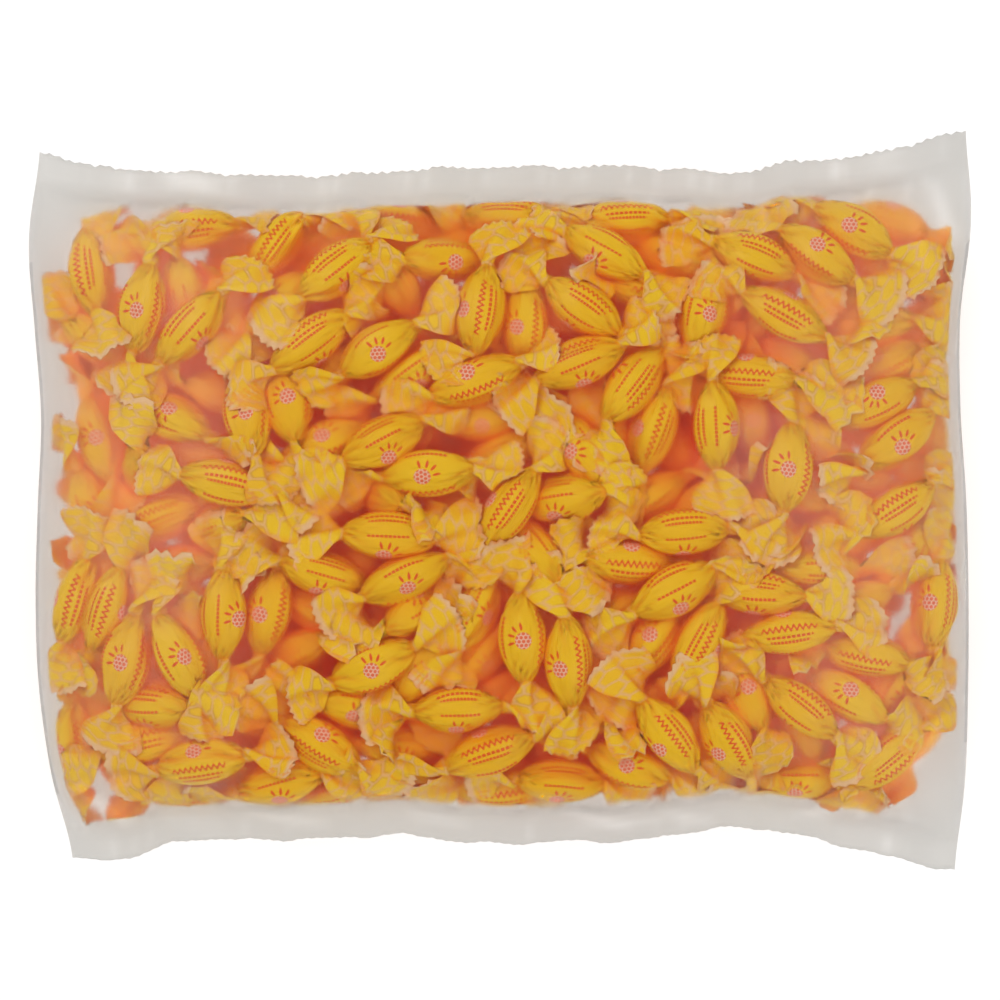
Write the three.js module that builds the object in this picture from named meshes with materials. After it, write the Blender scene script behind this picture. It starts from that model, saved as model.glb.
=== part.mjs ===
// A clear pillow bag full of twist-wrapped honey candies, lying flat on a table.
//
// The bag is one closed solid. Its plan outline follows the slack edges of the film, its underside is
// flat where the candies rest on the table, and its upper face bulges over them. Both ends carry a thin
// crimped seal with a zigzag cut, and the candies that press on the upper film show as low mounds.
//
// Millimetres, +Z up. The origin is under the middle of the bag's box, on the table.
// +X runs along the longer side of the bag, and the crimped seals are the two edges along X.

import * as THREE from 'three';

// ---- Driving dimensions ----------------------------------------------------------------------------

const BAG_LENGTH = 294;          // along X, from side fold to side fold
const BAG_WIDTH = 232;           // along Y, from seal edge to seal edge
const BAG_HEIGHT = 41;           // table to the crown, without the candy mounds
const FOLD_LEVEL = 13;           // height of the side folds and seals above the table
const SEAL_DEPTH = 10;           // crimped band, as seen from above
const SEAL_THICKNESS = 0.8;      // both films welded, with their fine ribs
const FLAT_FROM = 0.62;          // fullness above which the underside lies on the table
const SIDE_ROUNDNESS = 4;        // higher fills the bag further out to its side folds
const END_ROUNDNESS = 4.5;       // the same towards the seals

// How far each edge stands in from the box, in even steps along it.
const LEFT_INSET = [13.5, 7, 3.2, 2.3, 3, 4, 2, 0.2, 3.4];          // bottom to top
const RIGHT_INSET = [5, 2.1, 1.2, 1.1, 1.8, 3.6, 3.6, 0.3, 1.5];    // bottom to top
const BOTTOM_INSET = [                                              // left to right
  3.9, 4.2, 9.8, 10.1, 10.1, 10.9, 11.7, 9.5, 9, 9.8, 9.5, 12.1, 13.9, 12, 8, 3.9, 0.2,
];
const TOP_INSET = [                                                 // left to right
  7.3, 11.7, 13.1, 13.9, 14.8, 14.5, 13.5, 12.3, 12, 12, 11.7, 12.6, 13.9, 10.1, 8.9, 4.9, 0.5,
];

// The crimped ends: zigzag teeth, and slow waves where the empty film buckles.
const TOOTH_PITCH = 3.2;
const TOOTH_DEPTH = 1.1;
const EDGE_WAVE = 0.6;           // in plan
const BUCKLE_WAVE = 2.2;         // up and down
const BUCKLE_REACH = 0.8;        // share of the way from the middle to a cut edge where buckles start
const CORNER_DROOP = 3;          // the empty corners hang lower
const WAVES_PER_END = 11;
const BOTTOM_PHASE = 0.7;        // where the waves of each end start, in radians
const TOP_PHASE = 2.9;

// The candies under the upper film.
const CANDY_LENGTH = 29;
const CANDY_WIDTH = 17;
const MOUND_HEIGHT = 3;
const MOUND_REACH = 0.62;        // half-size of a mound's foot as a share of the candy's length and width

// Centres from the middle of the bag, and heading in degrees from +X towards +Y.
const FRONT_CANDIES = [
  [-110, 58, 80], [-94, 84, 8], [-96, 51, 50], [-50, 70, 36], [-58, 48, 38], [-76, 25, 90],
  [2, 90, 0], [39, 89, 4], [31, 75, -35], [26, 59, -30], [-6, 56, 75], [24, 42, 20],
  [-38, 46, 30], [-8, 37, 17], [79, 75, -24], [98, 75, -35], [88, 57, -30], [109, 83, -35],
  [-84, 5, -10], [-104, -6, 18], [-36, 18, 28], [-22, 8, 3], [-34, -11, -2], [-29, -24, 25],
  [4, -3, 55], [19, 1, 10], [66, 23, 90], [88, 10, 81], [56, -10, 8], [54, -29, 23],
  [79, -29, -8], [122, 19, 34], [122, -3, 32], [136, -32, 82], [-115, -49, 80], [-99, -48, -65],
  [-85, -36, 86], [-92, -81, 9], [-68, -89, 21], [-39, -50, 24], [-13, -64, 1], [7, -42, 90],
  [21, -48, -86], [-3, -78, 18], [52, -73, -56], [18, -89, -5], [92, -64, -37], [70, -73, -62],
  [89, -41, 5], [-130, -31, 72],
];

// Mesh steps.
const COLUMNS = 54;
const ROWS = 38;
const SEAL_ROWS = 2;
const TOOTH_COLUMNS = 2 * Math.round(BAG_LENGTH / TOOTH_PITCH);
const EDGE_CROWDING = 0.45;      // 0 spaces the steps evenly, 1 crowds them fully to the edges

// ---- Plan outline ----------------------------------------------------------------------------------

/** A smooth curve through even steps of values: a function of 0..1. */
function smoothSteps(values) {
  const curve = new THREE.SplineCurve(values.map((value, i) => new THREE.Vector2(i, value)));
  return (t) => curve.getPoint(THREE.MathUtils.clamp(t, 0, 1)).y;
}

const leftInset = smoothSteps(LEFT_INSET);
const rightInset = smoothSteps(RIGHT_INSET);
const bottomInset = smoothSteps(BOTTOM_INSET);
const topInset = smoothSteps(TOP_INSET);

/** Three sines of unlike lengths, for film that never repeats itself exactly. */
function wander(t, waves, phase) {
  const turn = 2 * Math.PI * t;
  return 0.55 * Math.sin(waves * turn + phase)
    + 0.3 * Math.sin(1.73 * waves * turn + 2.1 * phase)
    + 0.15 * Math.sin(3.1 * waves * turn + 3.7 * phase);
}

/** Plan position for u across the bag and v from the bottom seal to the top one, both 0..1. */
function planPoint(u, v) {
  const left = -BAG_LENGTH / 2 + leftInset(v);
  const right = BAG_LENGTH / 2 - rightInset(v);
  const bottom = -BAG_WIDTH / 2 + bottomInset(u) + EDGE_WAVE * wander(u, WAVES_PER_END, BOTTOM_PHASE);
  const top = BAG_WIDTH / 2 - topInset(u) + EDGE_WAVE * wander(u, WAVES_PER_END, TOP_PHASE);
  return new THREE.Vector2(
    THREE.MathUtils.lerp(left, right, u),
    THREE.MathUtils.lerp(bottom, top, v),
  );
}

// ---- Heights ---------------------------------------------------------------------------------------

const SEAL_SHARE = SEAL_DEPTH / BAG_WIDTH;

/** How full the bag is at (u, v): 0 on the side folds and in the seals, 1 in the middle. */
function fullness(u, v) {
  const across = Math.abs(2 * u - 1);
  const along = Math.min(1, Math.abs(2 * v - 1) / (1 - 2 * SEAL_SHARE));
  return Math.sqrt((1 - across ** SIDE_ROUNDNESS) * (1 - along ** END_ROUNDNESS));
}

/** The level of the side folds and seals, with the buckles of the seals. */
function foldLevel(u, v) {
  const phase = v < 0.5 ? TOP_PHASE : BOTTOM_PHASE;
  const nearEnd = THREE.MathUtils.smoothstep(Math.abs(2 * v - 1), BUCKLE_REACH, 1);
  const droop = CORNER_DROOP * Math.abs(2 * u - 1) ** 3 * nearEnd;
  return FOLD_LEVEL - droop + nearEnd * BUCKLE_WAVE * wander(u, WAVES_PER_END / 2, phase);
}

/** The rise over the candies below a plan point: the highest mound that covers it. */
function moundHeight(point) {
  let highest = 0;
  for (const [x, y, heading] of FRONT_CANDIES) {
    const angle = THREE.MathUtils.degToRad(heading);
    const offset = new THREE.Vector2(point.x - x, point.y - y).rotateAround(new THREE.Vector2(), -angle);
    const lengthwise = offset.x / (MOUND_REACH * CANDY_LENGTH);
    const sideways = offset.y / (MOUND_REACH * CANDY_WIDTH);
    highest = Math.max(highest, 1 - lengthwise ** 2 - sideways ** 2);
  }
  return MOUND_HEIGHT * THREE.MathUtils.smoothstep(highest, 0, 1);
}

/** The two film faces at (u, v), as a pair of points. */
function filmPoints(u, v) {
  const plan = planPoint(u, v);
  const level = foldLevel(u, v);
  const full = fullness(u, v);
  const atSide = Math.min(1, COLUMNS * Math.min(u, 1 - u));
  const half = 0.5 * SEAL_THICKNESS * atSide;
  const bulge = full * (BAG_HEIGHT - level) + Math.min(1, 2 * full) * moundHeight(plan);
  const sag = level * Math.min(1, full / FLAT_FROM);
  return {
    upper: new THREE.Vector3(plan.x, plan.y, level + half + bulge),
    lower: new THREE.Vector3(plan.x, plan.y, Math.max(0, level - half - sag * (1 + half / level))),
  };
}

// ---- Rows of the mesh ------------------------------------------------------------------------------

/** Even steps from 0 to 1, drawn partly towards both ends. */
function crowdedSteps(count) {
  return Array.from({ length: count + 1 }, (_, i) => {
    const even = i / count;
    const crowded = 0.5 - 0.5 * Math.cos(Math.PI * even);
    return THREE.MathUtils.lerp(even, crowded, EDGE_CROWDING);
  });
}

/** The rows of points from the bottom cut edge to the top one: the v of each, and the u of its points. */
function bagRows() {
  const coarse = crowdedSteps(COLUMNS);
  const toothed = Array.from({ length: TOOTH_COLUMNS + 1 }, (_, i) => i / TOOTH_COLUMNS);
  const sealSteps = Array.from({ length: SEAL_ROWS }, (_, i) => SEAL_SHARE * (i + 1) / SEAL_ROWS);
  const bodySteps = crowdedSteps(ROWS).slice(1)
    .map((t) => THREE.MathUtils.lerp(SEAL_SHARE, 1 - SEAL_SHARE, t));
  const topSteps = sealSteps.slice(0, -1).map((v) => 1 - SEAL_SHARE + v);
  const innerRows = [...sealSteps, ...bodySteps, ...topSteps].map((v) => ({ v, us: coarse }));
  return [{ v: 0, us: toothed }, ...innerRows, { v: 1, us: toothed }];
}

/** Moves every second point of a cut edge inwards, which makes its zigzag teeth. */
function toothOffset(v, index) {
  const inwards = { 0: TOOTH_DEPTH, 1: -TOOTH_DEPTH }[v] ?? 0;
  return index % 2 === 0 ? 0 : inwards;
}

// ---- The closed mesh -------------------------------------------------------------------------------

/** Joins two neighbouring rows of points, which may differ in number, with triangles. */
function stitch(near, far, emit) {
  let i = 0;
  let j = 0;
  while (i < near.us.length - 1 || j < far.us.length - 1) {
    const nearNext = i < near.us.length - 1 ? near.us[i + 1] : Infinity;
    const farNext = j < far.us.length - 1 ? far.us[j + 1] : Infinity;
    if (nearNext <= farNext) {
      emit(near.ids[i], near.ids[i + 1], far.ids[j]);
      i += 1;
    } else {
      emit(near.ids[i], far.ids[j + 1], far.ids[j]);
      j += 1;
    }
  }
}

/** The whole bag: upper and lower sheets that share the side folds, closed along both cut edges. */
function buildBag() {
  const positions = [];
  const triangles = [];
  const addPoint = (point) => positions.push(point.x, point.y, point.z) / 3 - 1;

  const sheets = bagRows().map(({ v, us }) => {
    const upperIds = [];
    const lowerIds = [];
    us.forEach((u, index) => {
      const { upper, lower } = filmPoints(u, v);
      upper.y += toothOffset(v, index);
      lower.y += toothOffset(v, index);
      const upperId = addPoint(upper);
      const onFold = index === 0 || index === us.length - 1;
      upperIds.push(upperId);
      lowerIds.push(onFold ? upperId : addPoint(lower));
    });
    return { upper: { us, ids: upperIds }, lower: { us, ids: lowerIds } };
  });

  for (let row = 0; row < sheets.length - 1; row += 1) {
    stitch(sheets[row].upper, sheets[row + 1].upper, (a, b, c) => triangles.push(a, b, c));
    stitch(sheets[row].lower, sheets[row + 1].lower, (a, b, c) => triangles.push(c, b, a));
  }
  closeCutEdge(sheets[0], (a, b, c) => triangles.push(a, b, c));
  closeCutEdge(sheets.at(-1), (a, b, c) => triangles.push(c, b, a));

  const geometry = new THREE.BufferGeometry();
  geometry.setAttribute('position', new THREE.Float32BufferAttribute(positions, 3));
  geometry.setIndex(triangles);
  geometry.computeVertexNormals();
  return geometry;
}

/** The thin face along a cut edge, between the upper and the lower film. */
function closeCutEdge({ upper, lower }, emit) {
  const last = upper.ids.length - 1;
  for (let i = 0; i < last; i += 1) {
    if (i > 0) {
      emit(lower.ids[i], lower.ids[i + 1], upper.ids[i]);
    }
    if (i < last - 1) {
      emit(lower.ids[i + 1], upper.ids[i + 1], upper.ids[i]);
    }
  }
}

/** Puts the middle of the bag's box over the origin. */
function centreOverOrigin(geometry) {
  geometry.computeBoundingBox();
  const centre = geometry.boundingBox.getCenter(new THREE.Vector3());
  geometry.translate(-centre.x, -centre.y, -geometry.boundingBox.min.z);
  return geometry;
}

// ---- The object ------------------------------------------------------------------------------------

const filmOverCandies = new THREE.MeshStandardMaterial({
  color: '#dba64c',
  roughness: 0.45,
  metalness: 0,
});

const bag = new THREE.Mesh(centreOverOrigin(buildBag()), filmOverCandies);
bag.name = 'candy_bag';

const honeyCandyBag = new THREE.Group();
honeyCandyBag.add(bag);

export default honeyCandyBag;
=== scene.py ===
# %% [markdown]
# # A clear bag of twist-wrapped honey candies
#
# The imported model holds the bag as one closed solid. This notebook dresses it: a frosted film with crimped
# ends, and inside it the wrapped candies, settled so that they fill the same form. The camera looks
# straight down on the bag, as it lies on a pale table.
#
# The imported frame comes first, because every size and place below is worked out from it.

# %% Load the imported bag
import math

import bpy
import numpy as np
from mathutils import Matrix, Vector
from mathutils.bvhtree import BVHTree


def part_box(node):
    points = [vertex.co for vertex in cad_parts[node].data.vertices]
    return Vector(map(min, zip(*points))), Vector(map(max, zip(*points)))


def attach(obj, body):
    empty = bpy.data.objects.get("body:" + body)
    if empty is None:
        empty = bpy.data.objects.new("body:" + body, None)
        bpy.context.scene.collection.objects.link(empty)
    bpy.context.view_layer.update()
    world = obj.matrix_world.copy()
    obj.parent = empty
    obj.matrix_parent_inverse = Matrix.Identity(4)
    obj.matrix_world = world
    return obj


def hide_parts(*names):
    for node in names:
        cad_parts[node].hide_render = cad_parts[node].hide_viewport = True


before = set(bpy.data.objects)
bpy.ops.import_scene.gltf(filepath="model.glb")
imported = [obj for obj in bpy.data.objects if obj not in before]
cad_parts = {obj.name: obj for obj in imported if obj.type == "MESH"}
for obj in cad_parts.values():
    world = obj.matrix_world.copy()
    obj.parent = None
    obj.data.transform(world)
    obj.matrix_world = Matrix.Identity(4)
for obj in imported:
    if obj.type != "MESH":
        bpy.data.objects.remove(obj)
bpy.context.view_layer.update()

bag_low, bag_high = (np.array(corner) * 1000 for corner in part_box("candy_bag"))
bag_size = bag_high - bag_low
print(f"The bag is {bag_size[0]:.0f} x {bag_size[1]:.0f} x {bag_size[2]:.0f} mm")

# %% [markdown]
# ## Working in millimetres
#
# Candies are easier to think about in millimetres, so places and sizes below are in millimetres, and they
# turn into metres where a mesh is made or changed. Only the lamps and the camera are placed in metres. A
# mesh has quads or triangles, its UV map holds millimetres along the surface, and it is shaded smooth but
# for its sharpest folds.

# %% A helper that makes a mesh object
MM = 0.001
FOLD_ANGLE = 75


def make_object(name, points_mm, faces, uv_mm=None, attributes=None):
    """A smooth-shaded mesh object. uv_mm has one pair for each face corner."""
    mesh = bpy.data.meshes.new(name)
    mesh.from_pydata((np.asarray(points_mm) * MM).tolist(), [], [list(map(int, face)) for face in faces])
    if uv_mm is not None:
        layer = mesh.uv_layers.new(name="UVMap")
        layer.data.foreach_set("uv", np.asarray(uv_mm, dtype=np.float32).ravel())
    for key, values in (attributes or {}).items():
        layer = mesh.attributes.new(key, "FLOAT", "POINT")
        layer.data.foreach_set("value", np.asarray(values, dtype=np.float32))
    mesh.shade_smooth()
    mesh.set_sharp_from_angle(angle=math.radians(FOLD_ANGLE))
    mesh.update()
    obj = bpy.data.objects.new(name, mesh)
    bpy.context.scene.collection.objects.link(obj)
    return obj


# %% [markdown]
# ## The room inside the bag
#
# The candies must fill the bag's own form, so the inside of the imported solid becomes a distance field: a
# grid of points, each with its distance to the skin, positive inside. Reading the field between its grid
# points is quick, and its slope says which way leads away from the skin. The heap doesn't fill all of it:
# three of the bag's corners hold only film, up to a given distance from each, and so do the side folds.

# %% Measure the room
ROOM_STEP = 3.0
ROOM_MARGIN = 9.0
BARE_CORNERS = [(-147, 108, 30), (147, 112, 28), (146, -113, 31)]
HEAP_SIDES = (-138.5, 141.0)


def tree_of(obj):
    """A search tree over an object's triangles, in millimetres."""
    mesh = obj.data
    mesh.calc_loop_triangles()
    points = np.empty(len(mesh.vertices) * 3)
    mesh.vertices.foreach_get("co", points)
    triangles = np.empty(len(mesh.loop_triangles) * 3, dtype=int)
    mesh.loop_triangles.foreach_get("vertices", triangles)
    return BVHTree.FromPolygons((points.reshape(-1, 3) / MM).tolist(), triangles.reshape(-1, 3).tolist())


bag_tree = tree_of(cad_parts["candy_bag"])
room_low = bag_low - ROOM_MARGIN
room_shape = np.ceil((bag_size + 2 * ROOM_MARGIN) / ROOM_STEP).astype(int) + 1


def bag_height(x, y, from_above=True):
    """Height of the bag's upper or lower skin over a plan point, or None outside its outline."""
    start = bag_high[2] + 10 if from_above else -10.0
    place, *_ = bag_tree.ray_cast((x, y, start), (0, 0, -1 if from_above else 1))
    return None if place is None else place.z


room_steps = np.meshgrid(*(np.arange(n) for n in room_shape), indexing="ij")
room_grid = np.stack(room_steps, -1) * ROOM_STEP + room_low
room_field = np.array([bag_tree.find_nearest(p)[3] for p in room_grid.reshape(-1, 3).tolist()])
room_field = room_field.reshape(room_shape)
for column in np.ndindex(*room_shape[:2]):
    x, y, _ = room_grid[column][0]
    top, bottom = bag_height(x, y), bag_height(x, y, from_above=False)
    inside = top is not None and (room_grid[column][:, 2] > bottom) & (room_grid[column][:, 2] < top)
    room_field[column] *= np.where(inside, 1, -1)
room_slope = np.stack(np.gradient(room_field, ROOM_STEP), -1)

heap_field = np.minimum(room_field, room_grid[..., 0] - HEAP_SIDES[0])
heap_field = np.minimum(heap_field, HEAP_SIDES[1] - room_grid[..., 0])
for x, y, reach in BARE_CORNERS:
    heap_field = np.minimum(heap_field, np.hypot(room_grid[..., 0] - x, room_grid[..., 1] - y) - reach)
heap_slope = np.stack(np.gradient(heap_field, ROOM_STEP), -1)


def read_grid(grid, points):
    """Values of a grid between its points, by trilinear blending."""
    place = np.clip((points - room_low) / ROOM_STEP, 0, np.array(room_shape) - 1.001)
    cell = place.astype(int)
    part = place - cell
    total = 0
    for corner in np.ndindex(2, 2, 2):
        weight = np.prod(np.where(corner, part, 1 - part), axis=-1)
        index = tuple((cell + corner).T)
        total = total + grid[index] * (weight if grid.ndim == 3 else weight[:, None])
    return total


print(f"The room field has {room_field.size} points, and is {room_field.max():.1f} mm deep at most")

# %% [markdown]
# ## One candy
#
# A hard candy sits in a wrapper that is twisted shut at both ends. For settling the heap it is enough to
# know each candy as a short chain of balls: three for the body, one for each neck, and one for each
# twisted end, which can bend at its neck. The mesh comes later.

# %% The candy's sizes
BODY_LENGTH = 28.0
BODY_RADIUS = 7.4
NECK_RADIUS = 1.9
FAN_LENGTH = 16.5
FAN_WIDTH = 18.5

NECK_PLACE = 0.42 * BODY_LENGTH
BALL_PLACES = np.array([-6.0, 0.0, 6.0, -NECK_PLACE, NECK_PLACE])
BALL_RADII = np.array([6.0, 7.2, 6.0, 2.6, 2.6, 4.0, 4.0])
TAIL_REACH = 9.0
CANDY_REACH = 2 * (NECK_PLACE + TAIL_REACH + 3.0)

# %% [markdown]
# ## Where the front candies lie
#
# The candies just under the upper film give the bag its face, so their places were read off the photograph:
# X and Y from the middle of the bag, and the heading in degrees from +X towards +Y.
# The first group touches the film, the second lies a little deeper, and the third shows only as a blur.
# All others fill the bag by a seeded rule.

# %% Candies read off the photograph
TOUCHING_FILM = [
    (-110, 59, 80), (-95, 53, 48), (-51, 71, 38), (-58, 48, 38), (39, 89, 5), (32, 75, -33),
    (26, 60, -35), (-6, 58, 80), (24, 42, 22), (-37, 46, 30), (-8, 37, 18), (78, 75, -22), (97, 75, -35),
    (87, 57, -30), (109, 84, -35), (66, 23, 92), (-84, 5, -12), (-77, 27, 95), (-85, -35, 88),
    (-36, 18, 27), (-22, 8, 3), (-34, -11, -3), (-29, -24, 25), (4, -3, 55), (18, 1, 10), (56, -10, 8),
    (54, -28, 25), (79, -28, -8), (88, 10, 82), (122, 19, 35), (122, -3, 32), (136, -32, 85),
    (-115, -49, 80), (-99, -48, 115), (-92, -81, 10), (-55, -76, -35), (-68, -89, 22), (-39, -50, 25),
    (-13, -64, 2), (7, -42, 93), (21, -49, 95), (-3, -78, 20), (18, -89, -5), (52, -72, 125),
    (92, -64, -38), (70, -74, 117), (89, -41, 6),
]
JUST_BELOW = [
    (-127, 71, 102), (-95, 84, 8), (-67, 59, 45), (-70, 79, 60), (-31, 91, -5), (8, 54, 85),
    (-27, 40, 35), (48, 64, -20), (62, 58, 75), (-131, -31, 68), (-71, -34, 78), (-53, 17, 18),
    (47, 22, 72), (-8, -34, 68), (-133, -76, 95), (-51, -93, 30), (40, -81, -20), (-33, -94, 12),
    (1, -88, 0), (-44, -63, -10), (92, -87, 5), (48, -43, 55),
]
DEEPER = [
    (-123, 49, 150), (3, 89, 0), (-33, 68, 120), (118, 42, 25), (114, 55, 0), (-124, 19, 108),
    (-126, -3, 110), (-105, -6, 20), (-100, -21, 5), (-53, 0, 30), (-1, 13, 30), (25, -22, 0),
    (33, 20, 100), (45, 0, 30), (77, 25, 100), (125, -17, 60), (-123, -49, 80), (-96, -95, 5),
    (-54, -35, -20), (-7, -47, 50), (131, -68, 70), (121, -59, 60),
]
LAYER_DEPTHS = [0.4, 3.5, 7.5]
front = np.array([(*row, depth) for rows, depth in zip((TOUCHING_FILM, JUST_BELOW, DEEPER), LAYER_DEPTHS)
                  for row in rows], dtype=float)
FRONT_COUNT = len(front)
BOTTOM_COUNT = 70
MIDDLE_COUNT = 46
REST_COUNT = BOTTOM_COUNT + MIDDLE_COUNT
print(f"{FRONT_COUNT} candies in front, {MIDDLE_COUNT} in the middle and {BOTTOM_COUNT} at the bottom")

# %% [markdown]
# ## Settling the heap
#
# A rigid-body simulation would throw the front candies about, so the heap settles by position-based
# relaxation: in each round, balls that overlap push each other apart, the skin pushes balls inwards,
# every candy is made straight again, the hidden ones are drawn to their level, and the front ones to the
# places where they are seen. A few hundred rounds leave a close heap. Bodies that touch still overlap in
# it, most of them by about half a millimetre and a few by two or more.

# %% Start positions
START_SPACING, SPACING_SHRINK = 26.0, 0.995
BOTTOM_ROOM, MIDDLE_ROOM = 5.5, 14.0
MIDDLE_HEIGHT = 21.0
REST_TILT = 0.25
rng = np.random.default_rng(20)


def scatter(count, level, least_depth):
    """Seeded start places at one level, where the room around them is at least so deep."""
    places = []
    spacing = START_SPACING
    while len(places) < count:
        spacing *= SPACING_SHRINK
        x, y = rng.uniform(bag_low[:2], bag_high[:2])
        point = np.array([x, y, level])
        if read_grid(heap_field, point[None])[0] > least_depth:
            if all(np.linalg.norm(point - other) > spacing for other in places):
                places.append(point)
    return np.array(places)


front_target = np.zeros((FRONT_COUNT, 3))
front_target[:, :2] = front[:, :2]
for row, (x, y, _, depth) in enumerate(front):
    front_target[row, 2] = bag_height(x, y) - BODY_RADIUS - depth
heading = np.radians(front[:, 2])
front_axis = np.stack([np.cos(heading), np.sin(heading), np.zeros(FRONT_COUNT)], -1)

bottom_level = bag_low[2] + BODY_RADIUS
middle_level = bag_low[2] + MIDDLE_HEIGHT
rest_centre = np.concatenate([
    scatter(BOTTOM_COUNT, bottom_level, BOTTOM_ROOM),
    scatter(MIDDLE_COUNT, middle_level, MIDDLE_ROOM),
])
rest_heading = rng.uniform(0, 2 * np.pi, REST_COUNT)
rest_axis = np.stack([np.cos(rest_heading), np.sin(rest_heading), rng.normal(0, REST_TILT, REST_COUNT)], -1)
rest_axis /= np.linalg.norm(rest_axis, axis=1, keepdims=True)

centre = np.concatenate([front_target, rest_centre])
axis = np.concatenate([front_axis, rest_axis])


def chain_of(centre, axis):
    """The balls of straight candies: five along the body and its necks, then the two tails."""
    along = np.concatenate([BALL_PLACES, [-NECK_PLACE - TAIL_REACH, NECK_PLACE + TAIL_REACH]])
    return centre[:, None, :] + along[None, :, None] * axis[:, None, :]


balls = chain_of(centre, axis)
print(f"{balls.shape[0] * balls.shape[1]} balls to settle")

# %% One round of relaxation
ROUNDS = 320
PAIR_REFRESH = 5
TAIL_STIFFNESS = 0.12
PIN_STRENGTH, PIN_LIFT, PIN_TILT = 0.25, 0.6, 0.2
LEVEL_PULL = 0.03
PUSH_GAIN = 1.3
SKIN_CLEARANCE = 0.3
LEAST_SLOPE = 0.3


def near_pairs(centre):
    """Index pairs of candies close enough to touch."""
    gap = np.linalg.norm(centre[:, None] - centre[None], axis=-1)
    first, second = np.nonzero(np.triu(gap < CANDY_REACH, 1))
    return first, second


def push_apart(balls, first, second):
    """Moves overlapping balls apart, each by the mean of its pushes."""
    between = balls[first][:, :, None] - balls[second][:, None]
    gap = np.linalg.norm(between, axis=-1)
    reach = BALL_RADII[:, None] + BALL_RADII[None]
    deep = np.maximum(reach - gap, 0)
    pair, a, b = np.nonzero(deep > 0)
    way = between[pair, a, b] / np.maximum(gap[pair, a, b], 1e-6)[:, None]
    push = way * (0.5 * deep[pair, a, b])[:, None]
    move = np.zeros_like(balls)
    hits = np.zeros(balls.shape[:2])
    for candy, ball, sign in ((first[pair], a, 1), (second[pair], b, -1)):
        np.add.at(move, (candy, ball), sign * push)
        np.add.at(hits, (candy, ball), 1)
    balls += PUSH_GAIN * move / np.maximum(hits, 1)[..., None]
    return deep.max()


def keep_inside(balls):
    """Pushes balls in from the bag's skin."""
    flat = balls.reshape(-1, 3)
    lack = np.tile(BALL_RADII, len(balls)) + SKIN_CLEARANCE - read_grid(heap_field, flat)
    slope = read_grid(heap_slope, flat)
    slope /= np.maximum(np.linalg.norm(slope, axis=1, keepdims=True), LEAST_SLOPE)
    flat += np.maximum(lack, 0)[:, None] * slope
    return flat.reshape(balls.shape)


def straighten(balls):
    """Makes every body rigid again and draws each tail back to its neck. Returns balls, centre, axis."""
    body = balls[:, :5]
    centre = body.mean(1)
    axis = ((body - centre[:, None]) * BALL_PLACES[None, :, None]).sum(1)
    axis /= np.linalg.norm(axis, axis=1, keepdims=True)
    straight = chain_of(centre, axis)
    for tail, neck in ((5, 3), (6, 4)):
        tip = balls[:, tail] + TAIL_STIFFNESS * (straight[:, tail] - balls[:, tail])
        arm = tip - straight[:, neck]
        arm *= TAIL_REACH / np.maximum(np.linalg.norm(arm, axis=1, keepdims=True), 1e-6)
        straight[:, tail] = straight[:, neck] + arm
    return straight, centre, axis


def draw_to_places(balls, centre, axis):
    """Draws the front candies to where they are seen, and the others to their own level."""
    pull = front_target - centre[:FRONT_COUNT]
    pull[:, 2] *= PIN_LIFT
    balls[:FRONT_COUNT] += PIN_STRENGTH * pull[:, None]
    turned = axis[:FRONT_COUNT] + PIN_STRENGTH * (front_axis - axis[:FRONT_COUNT]) * [1, 1, PIN_TILT]
    turned /= np.linalg.norm(turned, axis=1, keepdims=True)
    middle = balls[:FRONT_COUNT, :5].mean(1)
    balls[:FRONT_COUNT, :5] = middle[:, None] + BALL_PLACES[None, :, None] * turned[:, None]
    balls[FRONT_COUNT:, :, 2] += LEVEL_PULL * (rest_centre[:, 2] - centre[FRONT_COUNT:, 2])[:, None]
    return balls


# %% Settle
def settle(balls, centre, axis, rounds):
    """Runs rounds of relaxation and returns the balls, centres, axes and the deepest overlap."""
    for turn in range(rounds):
        if turn % PAIR_REFRESH == 0:
            first, second = near_pairs(centre)
        balls = draw_to_places(balls, centre, axis)
        deepest = push_apart(balls, first, second)
        balls = keep_inside(balls)
        balls, centre, axis = straighten(balls)
    return balls, centre, axis, deepest


balls, centre, axis, deepest = settle(balls, centre, axis, ROUNDS)
drift = np.linalg.norm((front_target - centre[:FRONT_COUNT])[:, :2], axis=1)
print(f"After {ROUNDS} rounds the deepest overlap is {deepest:.2f} mm")
print(f"The front candies drifted {drift.mean():.1f} mm from where they were seen")

# %% [markdown]
# ## Fill what is still empty
#
# Random places leave holes in the heap, where the table would show through. So the emptiest spot of the
# room takes one more candy, turned the way that fits best, again and again, and the heap settles once more.
# The upper half of the room is what the picture shows, so smaller holes count there.

# %% Add candies in the holes
HOLE_RADIUS = 4.2
LEAST_ROOM = BODY_RADIUS - 0.6
TOP_BONUS = 0.9
MOST_FILLERS = 60
FILL_ROUNDS = 120
TRIAL_TURNS = 24
TRIAL_TILT = 0.35
SKIN_WEIGHT = 3


def gap_to(chains, points):
    """Distance from each point to the nearest ball's surface of these chains."""
    gap = np.full(len(points), np.inf)
    for chain in chains:
        distance = np.linalg.norm(points[:, None] - chain[None], axis=-1) - BALL_RADII
        gap = np.minimum(gap, distance.min(1))
    return gap


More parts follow.
